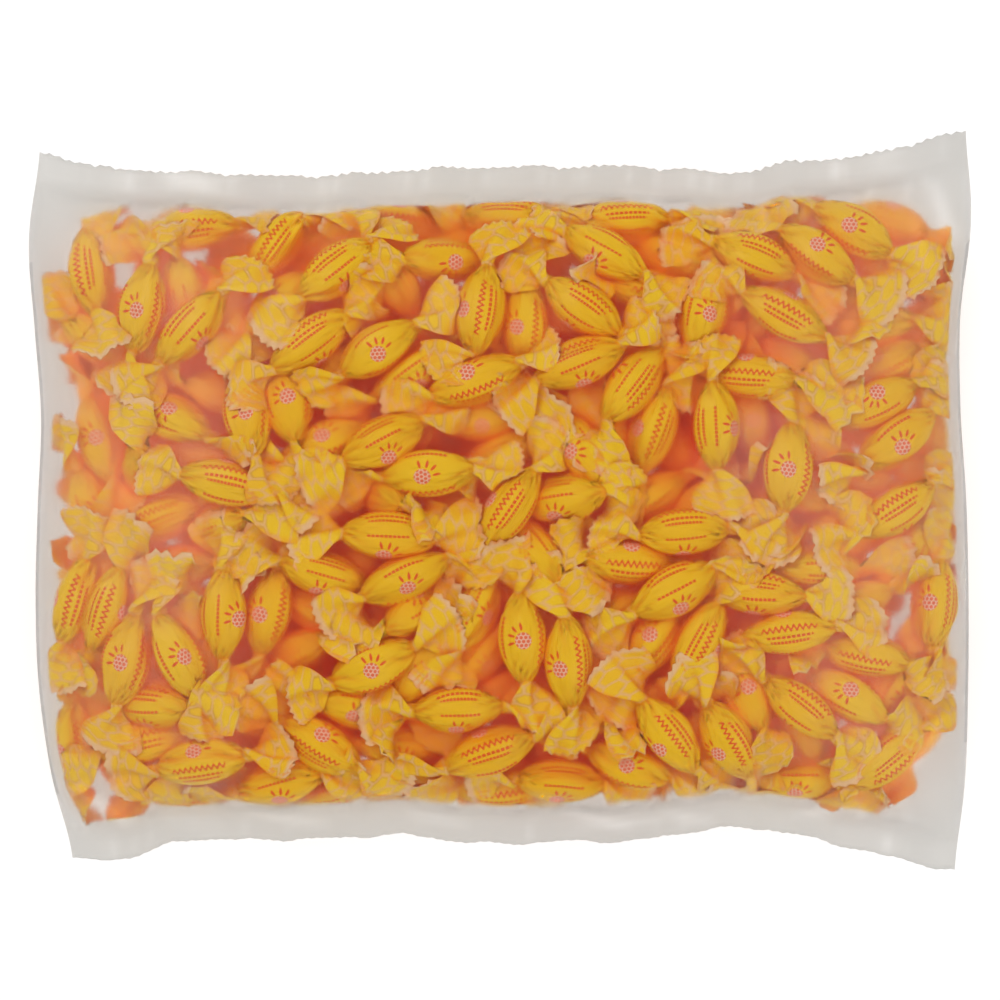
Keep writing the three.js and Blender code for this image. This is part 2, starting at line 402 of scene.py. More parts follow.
coarse = (slice(None, None, 2),) * 3
room_points = room_grid[coarse][heap_field[coarse] > LEAST_ROOM]
surface_gap = gap_to(balls, room_points) + TOP_BONUS * (room_points[:, 2] > 0.5 * bag_size[2])
while surface_gap.max() > HOLE_RADIUS and len(balls) < FRONT_COUNT + REST_COUNT + MOST_FILLERS:
    spot = room_points[surface_gap.argmax()]
    trials = rng.normal(size=(TRIAL_TURNS, 3)) * [1, 1, TRIAL_TILT]
    trials /= np.linalg.norm(trials, axis=1, keepdims=True)
    chains = chain_of(np.tile(spot, (TRIAL_TURNS, 1)), trials)
    room_there = read_grid(heap_field, chains.reshape(-1, 3)).reshape(chains.shape[:2])
    gaps = np.linalg.norm(chains[:, :, None, None] - balls[None, None], axis=-1)
    gaps = gaps - BALL_RADII[:, None, None] - BALL_RADII
    clash = np.minimum(gaps, 0).sum((1, 2, 3)) + SKIN_WEIGHT * np.minimum(room_there - BALL_RADII, 0).sum(1)
    best = clash.argmax()
    surface_gap = np.minimum(surface_gap, gap_to(chains[best][None], room_points))
    balls = np.concatenate([balls, chains[best][None]])
    centre = np.concatenate([centre, spot[None]])
    axis = np.concatenate([axis, trials[best][None]])
    rest_centre = np.concatenate([rest_centre, spot[None]])
balls, centre, axis, deepest = settle(balls, centre, axis, FILL_ROUNDS)
CANDY_COUNT = len(centre)
print(f"{CANDY_COUNT - FRONT_COUNT - REST_COUNT} candies filled holes, so there are {CANDY_COUNT} in all")
print(f"They overlap by {deepest:.2f} mm at most")

# %% [markdown]
# ## The wrapped body
#
# Each candy is an almond about 28 mm long, wrapped in yellow film. The film lies smooth over the middle,
# overlaps itself in one long seam, and gathers into pleats that swirl into the neck at both ends. The
# shape is a tube of rings, whose radius is worked out for every angle. A few variants of it, each with its
# own plumpness, pleats and dents, are enough for a heap.

# %% Build the body variants
PLEATS = 9
PLEAT_DEPTH = 0.44
SWIRL = 1.6
DENT_DEPTH = 0.04
DENT_COUNTS = (2, 3, 4, 5)
SEAM_HEIGHT, SEAM_FADE = 0.3, 0.35
FLATNESS = 0.95
PLUMPNESS = (0.72, 0.95)
TIP_LENGTH = 1.0


def smoothstep(low, high, value):
    """0 below low, 1 above high, and a smooth rise between them."""
    part = np.clip((value - low) / (high - low), 0, 1)
    return part * part * (3 - 2 * part)


def tube_steps(rings, around):
    """The ring and the step round it at which each quad of a tube starts."""
    return np.meshgrid(np.arange(rings - 1), np.arange(around), indexing="ij")


def tube_faces(rings, around):
    """Quads of a tube whose rings follow each other, with faces pointing out."""
    ring, step = tube_steps(rings, around)
    here = ring * around + step
    beside = ring * around + (step + 1) % around
    return np.stack([here, beside, beside + around, here + around], -1).reshape(-1, 4)


def corners_once(quad, flip):
    """A face without its repeated corners, turned over if flip says so."""
    corners = list(dict.fromkeys(quad))
    return corners[::-1] if flip else corners


def body_radius(t, plumpness):
    """Radius of a smooth body, for t from -1 at one neck to 1 at the other."""
    return NECK_RADIUS + (BODY_RADIUS - NECK_RADIUS) * np.maximum(1 - np.abs(t) ** 2.0, 0) ** plumpness


def make_body(name, around, rings, seed):
    """One wrapped body along X, with its UV map in millimetres: around the body, then along it."""
    draw = np.random.default_rng(seed)
    even = np.linspace(-1, 1, rings)
    t = (0.55 * even + 0.45 * np.sin(np.pi / 2 * even))[:, None]
    angle = (np.arange(around) * 2 * np.pi / around)[None, :]
    side = np.sign(t)
    swirl = side * SWIRL * np.maximum(np.abs(t) - 0.5, 0) * draw.choice([-1, 1])
    phase = np.where(side < 0, *draw.uniform(0, 2 * np.pi, 2))
    turned = angle + swirl
    wave = np.abs(np.sin(0.5 * PLEATS * turned + phase + 0.9 * np.sin(2 * turned + phase)))
    reach = 0.32 + 0.22 * np.sin(3 * turned + 2 * phase)
    gather = smoothstep(0, 1, (np.abs(t) - reach) / (0.95 - reach))
    valley = (1 - wave) ** 1.6 * gather
    dents = sum(
        DENT_DEPTH * np.cos(count * angle + draw.uniform(-2, 2) * t + draw.uniform(0, 2 * np.pi))
        for count in DENT_COUNTS
    )
    seam_angle = draw.uniform(0, 2 * np.pi)
    past_seam = (angle - seam_angle) % (2 * np.pi)
    seam = SEAM_HEIGHT * np.exp(-past_seam / SEAM_FADE) * (1 - gather)
    radius = body_radius(t, draw.uniform(*PLUMPNESS)) * (1 - PLEAT_DEPTH * valley) * (1 + dents) + seam
    x = 0.5 * BODY_LENGTH * t + 0 * angle
    points = np.stack([x, radius * np.cos(angle), FLATNESS * radius * np.sin(angle)], -1).reshape(-1, 3)
    ends = [[end * (0.5 * BODY_LENGTH + TIP_LENGTH), 0, 0] for end in (-1, 1)]
    faces = tube_faces(rings, around).tolist()
    arc = 2 * np.pi * BODY_RADIUS / around
    ring, step = tube_steps(rings, around)
    along = x[:, 0]
    uv = np.stack([
        np.stack([(step + du) * arc, along[ring + dv]], -1) for du, dv in ((0, 0), (1, 0), (1, 1), (0, 1))
    ], 2).reshape(-1, 2).tolist()
    first_end, last_end = rings * around, rings * around + 1
    last = (rings - 1) * around
    for step in range(around):
        beside = (step + 1) % around
        faces.append([first_end, beside, step])
        faces.append([last_end, last + step, last + beside])
        uv += [[step * arc, along[0]]] * 3 + [[step * arc, along[-1]]] * 3
    # How orange the wrapper is drawn: painted shade in the pleats' valleys, and near the necks partly the
    # deeper colour of layered film and partly painted shade.
    fold = np.concatenate([(valley + 0.35 * smoothstep(0.8, 1, np.abs(t)) + 0 * angle).ravel(), [1, 1]])
    return make_object(name, np.concatenate([points, ends]), faces, uv, {"fold": np.clip(fold, 0, 1)})


FINE_KINDS = 6
PLAIN_KINDS = 3
FINE_BODY, PLAIN_BODY = (32, 21), (18, 12)
body_kinds = [make_body(f"body_{i}_fine", *FINE_BODY, 100 + i) for i in range(FINE_KINDS)]
body_kinds += [make_body(f"body_{FINE_KINDS + i}_plain", *PLAIN_BODY, 200 + i) for i in range(PLAIN_KINDS)]
print("Body variants have", sorted({len(obj.data.polygons) for obj in body_kinds}), "faces")

# %% [markdown]
# ## The twisted ends
#
# Past the neck the wrapper opens into a crumpled fan: a flattened tube of film, narrow and twirled at the
# neck, some 18 mm wide at its zigzag-cut end, and folded into a few uneven pleats. The cross-section is a
# closed loop, upper film one way and lower film back, so the fan is a closed shell from the start.

# %% Build the fan variants
FAN_GAP = 0.5
TOOTH_CUT = 0.45
FAN_PLEATS = (1.1, 0.9, 0.4)
UV_SHIFT = 7.3


def make_fan(name, across, rows, seed):
    """One fan from its neck at the origin along +X, thin along Z. The UV map holds the flat film, in mm."""
    draw = np.random.default_rng(seed)

    def phase():
        """A random place in a wave."""
        return draw.uniform(0, 6)

    s = np.linspace(0, 1, rows)[:, None] ** 0.9
    step = np.arange(2 * across)
    on_top = step <= across
    w = np.where(on_top, -1 + 2 * step / across, 3 - 2 * step / across)[None, :]
    face = np.where(on_top, 1, -1)[None, :]
    length = FAN_LENGTH * draw.uniform(0.88, 1.12)
    spread = 0.5 * FAN_WIDTH * draw.uniform(0.85, 1.1) - NECK_RADIUS
    half_width = NECK_RADIUS + spread * np.sin(np.pi / 2 * s ** 0.75)
    tooth = TOOTH_CUT * np.where(step % 2 == 0, 1, -1)[None, :] * (s > 0.999)
    x = length * s * (1 - draw.uniform(0.14, 0.28) * w ** 2 + draw.uniform(-0.08, 0.08) * w) + tooth
    y = w * half_width * (1 - 0.06 * s * np.sin(2.3 * w + phase())) + draw.uniform(-3, 3) * s ** 2
    counts = draw.uniform(1.2, 2.0), draw.uniform(2.2, 3.2), draw.uniform(4, 5.5)
    pleat = sum(
        size * np.sin(np.pi * count * w + phase() + draw.uniform(-1.2, 1.2) * s)
        for size, count in zip(FAN_PLEATS, counts)
    )
    crumple = 0.3 * np.sin(9 * s + 4 * w + phase()) + 0.25 * np.sin(15 * s - 6 * w + phase())
    z = s ** 0.8 * pleat + s * crumple
    z = z + draw.uniform(-2.5, 2.5) * s ** 2 + draw.uniform(-1.5, 2.5) * s * w ** 2
    gap = FAN_GAP + 2 * NECK_RADIUS * (1 - s) ** 2
    gap = gap + 0.9 * s * (1 - s) * (1 + np.sin(5 * w + phase()))
    z = z + 0.5 * face * gap * np.sqrt(np.maximum(1 - w ** 2, 0))
    turn = draw.choice([-1, 1]) * draw.uniform(1.6, 2.6) * (1 - s) ** 2
    y, z = y * np.cos(turn) - z * np.sin(turn), y * np.sin(turn) + z * np.cos(turn)
    points = np.stack(np.broadcast_arrays(x, y, z), -1).reshape(-1, 3)

    around = 2 * across
    faces = tube_faces(rows, around)[:, ::-1].tolist()
    flat_step = np.arange(around + 1)[None, :] / across - 1
    flat = np.stack(np.broadcast_arrays(flat_step * (4 + 6 * s) + UV_SHIFT * seed, length * s), -1)
    row, here = tube_steps(rows, around)
    uv = np.stack([flat[row + 1, here], flat[row + 1, here + 1], flat[row, here + 1], flat[row, here]], 2)
    uv = uv.reshape(-1, 2).tolist()
    for row, flip in ((0, False), (rows - 1, True)):
        for upper in range(across):
            lower = (around - upper) % around
            quad = corners_once([upper, upper + 1, around - upper - 1, lower], flip)
            if len(quad) > 2:
                faces.append([row * around + index for index in quad])
                uv += [flat[row, index].tolist() for index in quad]
    return make_object(name, points, faces, uv)


FINE_FAN, PLAIN_FAN = (15, 12), (8, 6)
fan_kinds = [make_fan(f"fan_{i}_fine", *FINE_FAN, 300 + i) for i in range(FINE_KINDS)]
fan_kinds += [make_fan(f"fan_{FINE_KINDS + i}_plain", *PLAIN_FAN, 400 + i) for i in range(PLAIN_KINDS)]
fan_sizes = np.array([len(obj.data.vertices) for obj in fan_kinds])
print("Fan variants have", sorted({len(obj.data.polygons) for obj in fan_kinds}), "faces")

# %% [markdown]
# ## One tree that scatters
#
# Bodies and fans are both "a kind of thing, put at a place, turned and stretched". Geometry Nodes do this
# well: a mesh of bare points carries a turn, a stretch, a kind and a tint for each, and the tree puts the
# chosen variant on each point. Realize Instances makes it all one real mesh, and Set Material gives it its
# finish.

# %% Build the scatter tree
def scatter_tree():
    """Points with turn, stretch and kind in; one real mesh out."""
    tree = bpy.data.node_groups.new("scatter kinds on points", "GeometryNodeTree")
    face = tree.interface
    face.new_socket("Points", in_out="INPUT", socket_type="NodeSocketGeometry")
    face.new_socket("Kinds", in_out="INPUT", socket_type="NodeSocketCollection")
    face.new_socket("Finish", in_out="INPUT", socket_type="NodeSocketMaterial")
    face.new_socket("Mesh", in_out="OUTPUT", socket_type="NodeSocketGeometry")
    nodes, link = tree.nodes, tree.links.new
    entry = nodes.new("NodeGroupInput")
    leave = nodes.new("NodeGroupOutput")

    def attribute(name, kind):
        """The value that each point carries under a name."""
        node = nodes.new("GeometryNodeInputNamedAttribute")
        node.data_type = kind
        node.inputs["Name"].default_value = name
        return node.outputs["Attribute"]

    kinds = nodes.new("GeometryNodeCollectionInfo")
    kinds.inputs["Separate Children"].default_value = True
    kinds.inputs["Reset Children"].default_value = True
    link(entry.outputs["Kinds"], kinds.inputs["Collection"])
    turn = nodes.new("FunctionNodeEulerToRotation")
    link(attribute("turn", "FLOAT_VECTOR"), turn.inputs[0])
    place = nodes.new("GeometryNodeInstanceOnPoints")
    place.inputs["Pick Instance"].default_value = True
    link(entry.outputs["Points"], place.inputs["Points"])
    link(kinds.outputs[0], place.inputs["Instance"])
    link(attribute("kind", "INT"), place.inputs["Instance Index"])
    link(turn.outputs[0], place.inputs["Rotation"])
    link(attribute("stretch", "FLOAT_VECTOR"), place.inputs["Scale"])
    real = nodes.new("GeometryNodeRealizeInstances")
    link(place.outputs[0], real.inputs[0])
    finish = nodes.new("GeometryNodeSetMaterial")
    link(real.outputs[0], finish.inputs["Geometry"])
    link(entry.outputs["Finish"], finish.inputs["Material"])
    link(finish.outputs[0], leave.inputs[0])
    return tree


def scatter_on_points(name, tree, kinds, finish, places_mm, turns, stretches, kind_of, tint):
    """Runs the tree on a set of points and returns the result as a plain mesh object."""
    points = bpy.data.meshes.new(name + "_points")
    points.from_pydata((places_mm * MM).tolist(), [], [])
    for key, kind, field, values in (
        ("turn", "FLOAT_VECTOR", "vector", turns),
        ("stretch", "FLOAT_VECTOR", "vector", stretches),
        ("kind", "INT", "value", kind_of),
        ("tint", "FLOAT", "value", tint),
    ):
        values = np.asarray(values).astype(np.int32 if kind == "INT" else np.float32)
        points.attributes.new(key, kind, "POINT").data.foreach_set(field, values.ravel())
    carrier = bpy.data.objects.new(name + "_carrier", points)
    bpy.context.scene.collection.objects.link(carrier)
    box = bpy.data.collections.new(name + "_kinds")
    bpy.context.scene.collection.children.link(box)
    for obj in kinds:
        bpy.context.scene.collection.objects.unlink(obj)
        box.objects.link(obj)
    modifier = carrier.modifiers.new("scatter", "NODES")
    modifier.node_group = tree
    wanted = {"Kinds": box, "Finish": finish}
    for socket in tree.interface.items_tree:
        if socket.in_out == "INPUT" and socket.name in wanted:
            modifier[socket.identifier] = wanted[socket.name]
    depsgraph = bpy.context.evaluated_depsgraph_get()
    mesh = bpy.data.meshes.new_from_object(carrier.evaluated_get(depsgraph))
    mesh.name = name
    obj = bpy.data.objects.new(name, mesh)
    bpy.context.scene.collection.objects.link(obj)
    for old in [carrier, *kinds]:
        bpy.data.objects.remove(old)
    bpy.data.collections.remove(box)
    print(f"{name}: {sum(len(p.vertices) - 2 for p in mesh.polygons)} triangles")
    return obj


# %% [markdown]
# ## Maths for the finishes
#
# The wrapper's print and its honeycomb are worked out from the UV map, which holds millimetres. A shader
# does its sums with Math nodes, and a few small helpers make such a sum read almost like a formula. Each
# gives back a socket, which can go straight into the next one.

# %% Helpers for node sums
def feed(tree, socket, value):
    """Links a socket to an input, or sets a plain value on it."""
    if isinstance(value, bpy.types.NodeSocket):
        tree.links.new(value, socket)
    else:
        socket.default_value = value


def sum_node(tree, operation, *values, clamp=False):
    """One Math node, and its result."""
    node = tree.nodes.new("ShaderNodeMath")
    node.operation = operation
    node.use_clamp = clamp
    for socket, value in zip(node.inputs, values):
        feed(tree, socket, value)
    return node.outputs[0]


def vector_node(tree, operation, *values):
    """One Vector Math node, and its vector or value."""
    node = tree.nodes.new("ShaderNodeVectorMath")
    node.operation = operation
    for socket, value in zip(node.inputs, values):
        feed(tree, socket, value)
    return node.outputs["Value" if operation in ("LENGTH", "DOT_PRODUCT", "DISTANCE") else "Vector"]


def scale_node(tree, vector, factor):
    """A vector times one number."""
    node = tree.nodes.new("ShaderNodeVectorMath")
    node.operation = "SCALE"
    feed(tree, node.inputs["Vector"], vector)
    feed(tree, node.inputs["Scale"], factor)
    return node.outputs["Vector"]


def smooth_node(tree, value, low, high):
    """0 at low, 1 at high, smooth in between; low may be the larger."""
    node = tree.nodes.new("ShaderNodeMapRange")
    node.interpolation_type = "SMOOTHSTEP"
    feed(tree, node.inputs["Value"], value)
    node.inputs["From Min"].default_value = low
    node.inputs["From Max"].default_value = high
    return node.outputs["Result"]


def blend_node(tree, share, first, second, kind="RGBA"):
    """Mixes two colours or two vectors."""
    node = tree.nodes.new("ShaderNodeMix")
    node.data_type = kind
    offset = {"VECTOR": 4, "RGBA": 6}[kind]
    feed(tree, node.inputs[0], share)
    feed(tree, node.inputs[offset], first)
    feed(tree, node.inputs[offset + 1], second)
    return node.outputs[{"VECTOR": 1, "RGBA": 2}[kind]]


def attribute_node(tree, name):
    """The value of one of the piece's own attributes."""
    node = tree.nodes.new("ShaderNodeAttribute")
    node.attribute_name = name
    return node.outputs["Fac"]


def noise_node(tree, vector, scale, detail=2.0):
    """Smooth noise from 0 to 1."""
    node = tree.nodes.new("ShaderNodeTexNoise")
    node.inputs["Scale"].default_value = scale
    node.inputs["Detail"].default_value = detail
    feed(tree, node.inputs["Vector"], vector)
    return node.outputs["Fac"]


def bump_node(tree, height, strength, distance):
    """A normal that makes the surface look as high as a value says."""
    node = tree.nodes.new("ShaderNodeBump")
    node.inputs["Strength"].default_value = strength
    node.inputs["Distance"].default_value = distance
    feed(tree, node.inputs["Height"], height)
    return node.outputs[0]


def principled(tree, surface, **values):
    """A Principled shader on the surface, with _ for a space in its inputs' names."""
    node = tree.nodes.new("ShaderNodeBsdfPrincipled")
    for key, value in values.items():
        feed(tree, node.inputs[key.replace("_", " ")], value)
    tree.links.new(node.outputs[0], surface)


def new_group(name, inputs, outputs):
    """An empty shader node group with named sockets. Returns it with its entry and exit nodes."""
    group = bpy.data.node_groups.new(name, "ShaderNodeTree")
    for socket, kind, default in inputs:
        made = group.interface.new_socket(socket, in_out="INPUT", socket_type="NodeSocket" + kind)
        if default is not None:
            made.default_value = default
    for socket, kind in outputs:
        group.interface.new_socket(socket, in_out="OUTPUT", socket_type="NodeSocket" + kind)
    return group, group.nodes.new("NodeGroupInput"), group.nodes.new("NodeGroupOutput")


def use_group(tree, group, **values):
    """Places a group in a tree and feeds its inputs, with _ for a space in their names."""
    node = tree.nodes.new("ShaderNodeGroup")
    node.node_tree = group
    for key, value in values.items():
        feed(tree, node.inputs[key.replace("_", " ")], value)
    return node


def new_material(name):
    """A material with an empty tree but for its output. Returns it, its tree and the Surface socket."""
    material = bpy.data.materials.new(name)
    material.use_nodes = True
    material.cycles.emission_sampling = "NONE"
    tree = material.node_tree
    tree.nodes.clear()
    output = tree.nodes.new("ShaderNodeOutputMaterial")
    return material, tree, output.inputs["Surface"]


# %% [markdown]
# ## Honeycomb cells
#
# The twisted ends are printed with rounded yellow cells, and the same cells, much smaller, hatch the
# motif on the body. Cells on a hexagonal grid are two square-cornered grids laid over each other: the
# nearer centre of the two owns the point.

# %% Honeycomb group
def honeycomb_group():
    """Distance from the nearest cell's centre: 0 there, 1 on the border it shares with a neighbour."""
    group, entry, leave = new_group(
        "honeycomb", [("Place", "Vector", None), ("Cell", "Float", 4.0)], [("Border", "Float")]
    )
    pitch = scale_node(group, (1.0, math.sqrt(3), 1.0), entry.outputs["Cell"])
    half = scale_node(group, pitch, 0.5)
    flat = vector_node(group, "MULTIPLY", entry.outputs["Place"], (1.0, 1.0, 0.0))
    offset_of = []
    for start in (flat, vector_node(group, "SUBTRACT", flat, half)):
        floored = vector_node(group, "FLOOR", vector_node(group, "DIVIDE", start, pitch))
        within = vector_node(group, "SUBTRACT", start, vector_node(group, "MULTIPLY", floored, pitch))
        from_centre = vector_node(group, "SUBTRACT", within, half)
        offset_of.append(vector_node(group, "MULTIPLY", from_centre, (1.0, 1.0, 0.0)))
    lengths = [vector_node(group, "LENGTH", offset) for offset in offset_of]
    nearer = sum_node(group, "GREATER_THAN", *lengths)
    offset = vector_node(group, "ABSOLUTE", blend_node(group, nearer, *offset_of, "VECTOR"))
    slanted = vector_node(group, "DOT_PRODUCT", offset, (0.5, math.sqrt(3) / 2, 0.0))
    straight = vector_node(group, "DOT_PRODUCT", offset, (1.0, 0.0, 0.0))
    reach = sum_node(group, "MAXIMUM", slanted, straight)
    radius = sum_node(group, "MULTIPLY", entry.outputs["Cell"], 0.5)
    group.links.new(sum_node(group, "DIVIDE", reach, radius), leave.inputs["Border"])
    return group


honeycomb = honeycomb_group()
print("Made the honeycomb group with", len(honeycomb.nodes), "nodes")

# %% [markdown]
# ## Painted shade and glow by depth
#
# Light that reaches a candy deep in the heap has come through many see-through yellow sweets, so the gaps
# glow orange and then crimson. The path tracer gives part of this by itself. An attribute with each
# point's depth below the film paints in the rest: yellow near the film, then orange and red further in as
# painted shade, and a faint red painted glow that stands for the light that comes through the sweets. Two
# more attributes refine this. Towards the side folds and the upper seal, where the bag is thinner, the
# painted glow is yellower. And where a point faces away from the film it turns orange, painted shade that
# stands for how a see-through sweet looks at its edges.

# %% Painted depth shade and glow group
NEAR_FILM = 3.2
DEEP_DOWN = 20.0
WRAPPER_YELLOW = (0.98, 0.585, 0.012, 1)
WRAPPER_GOLD = (0.97, 0.45, 0.008, 1)
# The orange below is partly the deeper colour of layered film near the necks and partly painted shade, in
# pleat valleys and at edges that face away from the film.
LAYERED_AND_SHADED_ORANGE = (0.95, 0.26, 0.008, 1)
# The deep orange and red below are painted shade, and the three glows are painted light for the light that
# comes through the sweets.
PAINTED_DEEP_ORANGE = (0.97, 0.34, 0.008, 1)
PAINTED_DEEP_RED = (0.94, 0.135, 0.014, 1)
PAINTED_NEAR_GLOW = (0.020, 0.005, 0.0, 1)
PAINTED_DEEP_GLOW = (0.082, 0.013, 0.003, 1)
PAINTED_SIDE_GLOW = (0.15, 0.072, 0.008, 1)


def depth_group():
    """Painted shade that turns a colour orange and red with depth, and a painted glow for the light that
    comes through.
    """
    group, entry, leave = new_group(
        "painted depth light", [("Color", "Color", WRAPPER_YELLOW), ("Depth", "Float", 0.0), ("Side", "Float", 0.0)],
        [("Color", "Color"), ("Glow", "Color")],
    )
    orange = smooth_node(group, entry.outputs["Depth"], NEAR_FILM, 0.6 * DEEP_DOWN)
    red = smooth_node(group, entry.outputs["Depth"], 0.45 * DEEP_DOWN, DEEP_DOWN)
    warm = blend_node(group, sum_node(group, "MULTIPLY", orange, 0.85), entry.outputs["Color"], PAINTED_DEEP_ORANGE)
    group.links.new(blend_node(group, red, warm, PAINTED_DEEP_RED), leave.inputs["Color"])
    deep_glow = blend_node(group, entry.outputs["Side"], PAINTED_DEEP_GLOW, PAINTED_SIDE_GLOW)
    group.links.new(blend_node(group, orange, PAINTED_NEAR_GLOW, deep_glow), leave.inputs["Glow"])
    return group


painted_depth_light = depth_group()

# %% [markdown]
# ## The body's finish
#
# The wrapper is satin yellow film. Its print is only a plain pattern: a red wavy line between two fine
# dashed ones, and beside them a pink honeycomb patch with a fan of red strokes. The UV map gives the
# distance round the body and along it, so each mark is a small sum over those two lengths.

# %% Wrapper print group
PRINT_REPEAT = 24.0
PRINT_RED = (0.86, 0.055, 0.02, 1)
PRINT_PINK = (0.90, 0.13, 0.08, 1)
PRINT_PALE = (0.98, 0.55, 0.42, 1)
PATCH = (-3.0, -1.0, 2.6)
STROKES = [(-7.0, -1.8, 15), (-6.9, 0.7, -15), (-5.8, 2.6, -45), (-3.6, 3.4, -78)]
STROKE_SIZE = (1.25, 0.42)
WAVE_LINE, WAVE_LENGTH, WAVE_SWING, WAVE_REACH = 3.4, 1.8, 0.7, 8.5
WAVE_HALF_WIDTH = 0.5
DASH_LINES = [(6.3, 1.5, 7.0), (8.1, 1.1, 6.0), (-10.2, 1.3, 6.5)]
DASH_HALF_WIDTH = 0.46
PATCH_CELL = 1.4
MARK_BLUR, PATCH_BLUR = 0.12, 0.15


def print_group():
    """The wrapper's colour with its print over it, at a place in millimetres."""
    group, entry, leave = new_group(
        "wrapper print",
        [("Color", "Color", WRAPPER_YELLOW), ("Place", "Vector", None)],
        [("Color", "Color")],
    )
    parts = group.nodes.new("ShaderNodeSeparateXYZ")
    group.links.new(entry.outputs["Place"], parts.inputs[0])
    around = sum_node(group, "FLOORED_MODULO", parts.outputs["X"], PRINT_REPEAT)
    around = sum_node(group, "SUBTRACT", around, 0.5 * PRINT_REPEAT)
    along = parts.outputs["Y"]
    from_middle = sum_node(group, "ABSOLUTE", along)
    flat = group.nodes.new("ShaderNodeCombineXYZ")
    group.links.new(around, flat.inputs["X"])
    group.links.new(along, flat.inputs["Y"])

    def stroke(x, y, degrees):
        """A short slanted stroke."""
        mapping = group.nodes.new("ShaderNodeMapping")
        mapping.vector_type = "TEXTURE"
        mapping.inputs["Location"].default_value = (x, y, 0)
        mapping.inputs["Rotation"].default_value = (0, 0, math.radians(degrees))
        mapping.inputs["Scale"].default_value = (*STROKE_SIZE, 1)
        group.links.new(flat.outputs[0], mapping.inputs["Vector"])
        return smooth_node(group, vector_node(group, "LENGTH", mapping.outputs[0]), 1.15, 0.8)

    def line_at(place, half_wide, reach):
        """A line along the body at one place round it."""
        off = sum_node(group, "ABSOLUTE", sum_node(group, "SUBTRACT", around, place))
        near = smooth_node(group, from_middle, reach + 0.2, reach - 0.2)
        on_line = smooth_node(group, off, half_wide + MARK_BLUR, half_wide - MARK_BLUR)
        return sum_node(group, "MULTIPLY", on_line, near)

    swing = sum_node(group, "SINE", sum_node(group, "MULTIPLY", along, 2 * math.pi / WAVE_LENGTH))
    wave = sum_node(group, "MULTIPLY_ADD", swing, WAVE_SWING, WAVE_LINE)
    red = line_at(wave, WAVE_HALF_WIDTH, WAVE_REACH)
    for place, pitch, reach in DASH_LINES:
        step = sum_node(group, "FLOORED_MODULO", along, pitch)
        dashes = smooth_node(group, step, 0.2 * pitch, 0.4 * pitch)
        dashed = sum_node(group, "MULTIPLY", line_at(place, DASH_HALF_WIDTH, reach), dashes)
        red = sum_node(group, "MAXIMUM", red, dashed)
    for row in STROKES:
        red = sum_node(group, "MAXIMUM", red, stroke(*row))
    distance = vector_node(group, "DISTANCE", flat.outputs[0], (PATCH[0], PATCH[1], 0.0))
    patch = smooth_node(group, distance, PATCH[2] + PATCH_BLUR, PATCH[2] - PATCH_BLUR)
    cells = use_group(group, honeycomb, Place=entry.outputs["Place"], Cell=PATCH_CELL)
    pink = blend_node(group, smooth_node(group, cells.outputs["Border"], 0.55, 0.9), PRINT_PINK, PRINT_PALE)
    colour = blend_node(group, sum_node(group, "MULTIPLY", patch, 0.9), entry.outputs["Color"], pink)
    colour = blend_node(group, sum_node(group, "MULTIPLY", red, 0.95), colour, PRINT_RED)
    group.links.new(colour, leave.inputs["Color"])
    return group


wrapper_print = print_group()

# %% A satin shader that both finishes share
WRAPPER_GLOSS = 0.13


def satin(tree, surface, colour, roughness, normal):
    """Satin film whose colour gets painted shade, orange and red, with depth, and a painted glow."""
    # Depth and side drive painted shade and a painted glow, which is yellower near the side folds and the
    # upper seal.
    depth, side = attribute_node(tree, "depth"), attribute_node(tree, "side")
    tinted = use_group(tree, painted_depth_light, Color=colour, Depth=depth, Side=side)
    principled(
        tree, surface, Base_Color=tinted.outputs["Color"], Emission_Color=tinted.outputs["Glow"],
        Emission_Strength=1.0, Specular_IOR_Level=WRAPPER_GLOSS, Roughness=roughness, Normal=normal,
    )


# %% Wrapper material
GOLD_SHARE, LAYERED_AND_SHADED_SHARE = 0.45, 0.85
WRINKLE_SCALE = (0.55, 0.12, 1.0)
WRINKLE_BUMP = (0.6, 0.002)


def wrapper_material():
    """Satin yellow film with a red and pink print, oranger in its pleats from layered film and painted
    shade, and from painted shade at its edges and with depth.
    """
    material, tree, surface = new_material("yellow wrapper")
    uv = tree.nodes.new("ShaderNodeUVMap").outputs[0]
    gold = sum_node(tree, "MULTIPLY", attribute_node(tree, "tint"), GOLD_SHARE)
    base = blend_node(tree, gold, WRAPPER_YELLOW, WRAPPER_GOLD)
    # Painted shade: orange in the pleats' valleys and where the body faces away from the film, near the
    # necks partly layered film.
    fold = sum_node(tree, "MAXIMUM", attribute_node(tree, "fold"), attribute_node(tree, "away"))
    base = blend_node(tree, sum_node(tree, "MULTIPLY", fold, LAYERED_AND_SHADED_SHARE), base, LAYERED_AND_SHADED_ORANGE)
    base = use_group(tree, wrapper_print, Color=base, Place=uv).outputs[0]
    wrinkles = noise_node(tree, vector_node(tree, "MULTIPLY", uv, WRINKLE_SCALE), 1.0)
    roughness = sum_node(tree, "MULTIPLY_ADD", wrinkles, 0.25, 0.28)
    satin(tree, surface, base, roughness, bump_node(tree, wrinkles, *WRINKLE_BUMP))
    return material


wrapper = wrapper_material()

# %% [markdown]
# ## The twisted ends' finish
#
# The ends are clear film printed with rounded yellow cells. Between the cells and along the cut edge the
# film is bare, and looks pale. A thin brownish line runs round some of the cells.

# %% Twisted end material
CELL_SIZE = 3.4
CELL_YELLOW = (0.98, 0.61, 0.014, 1)
BARE_FILM = (0.89, 0.50, 0.21, 1)
CELL_LINE = (0.70, 0.36, 0.04, 1)
# How far painted shade turns the fan orange where it faces away from the film.
RIM_SHADE_SHARE = 0.5
CRUMPLE_BUMP = (0.5, 0.0008)
CUT_EDGE = (0.91, 0.56, 0.28, 1)


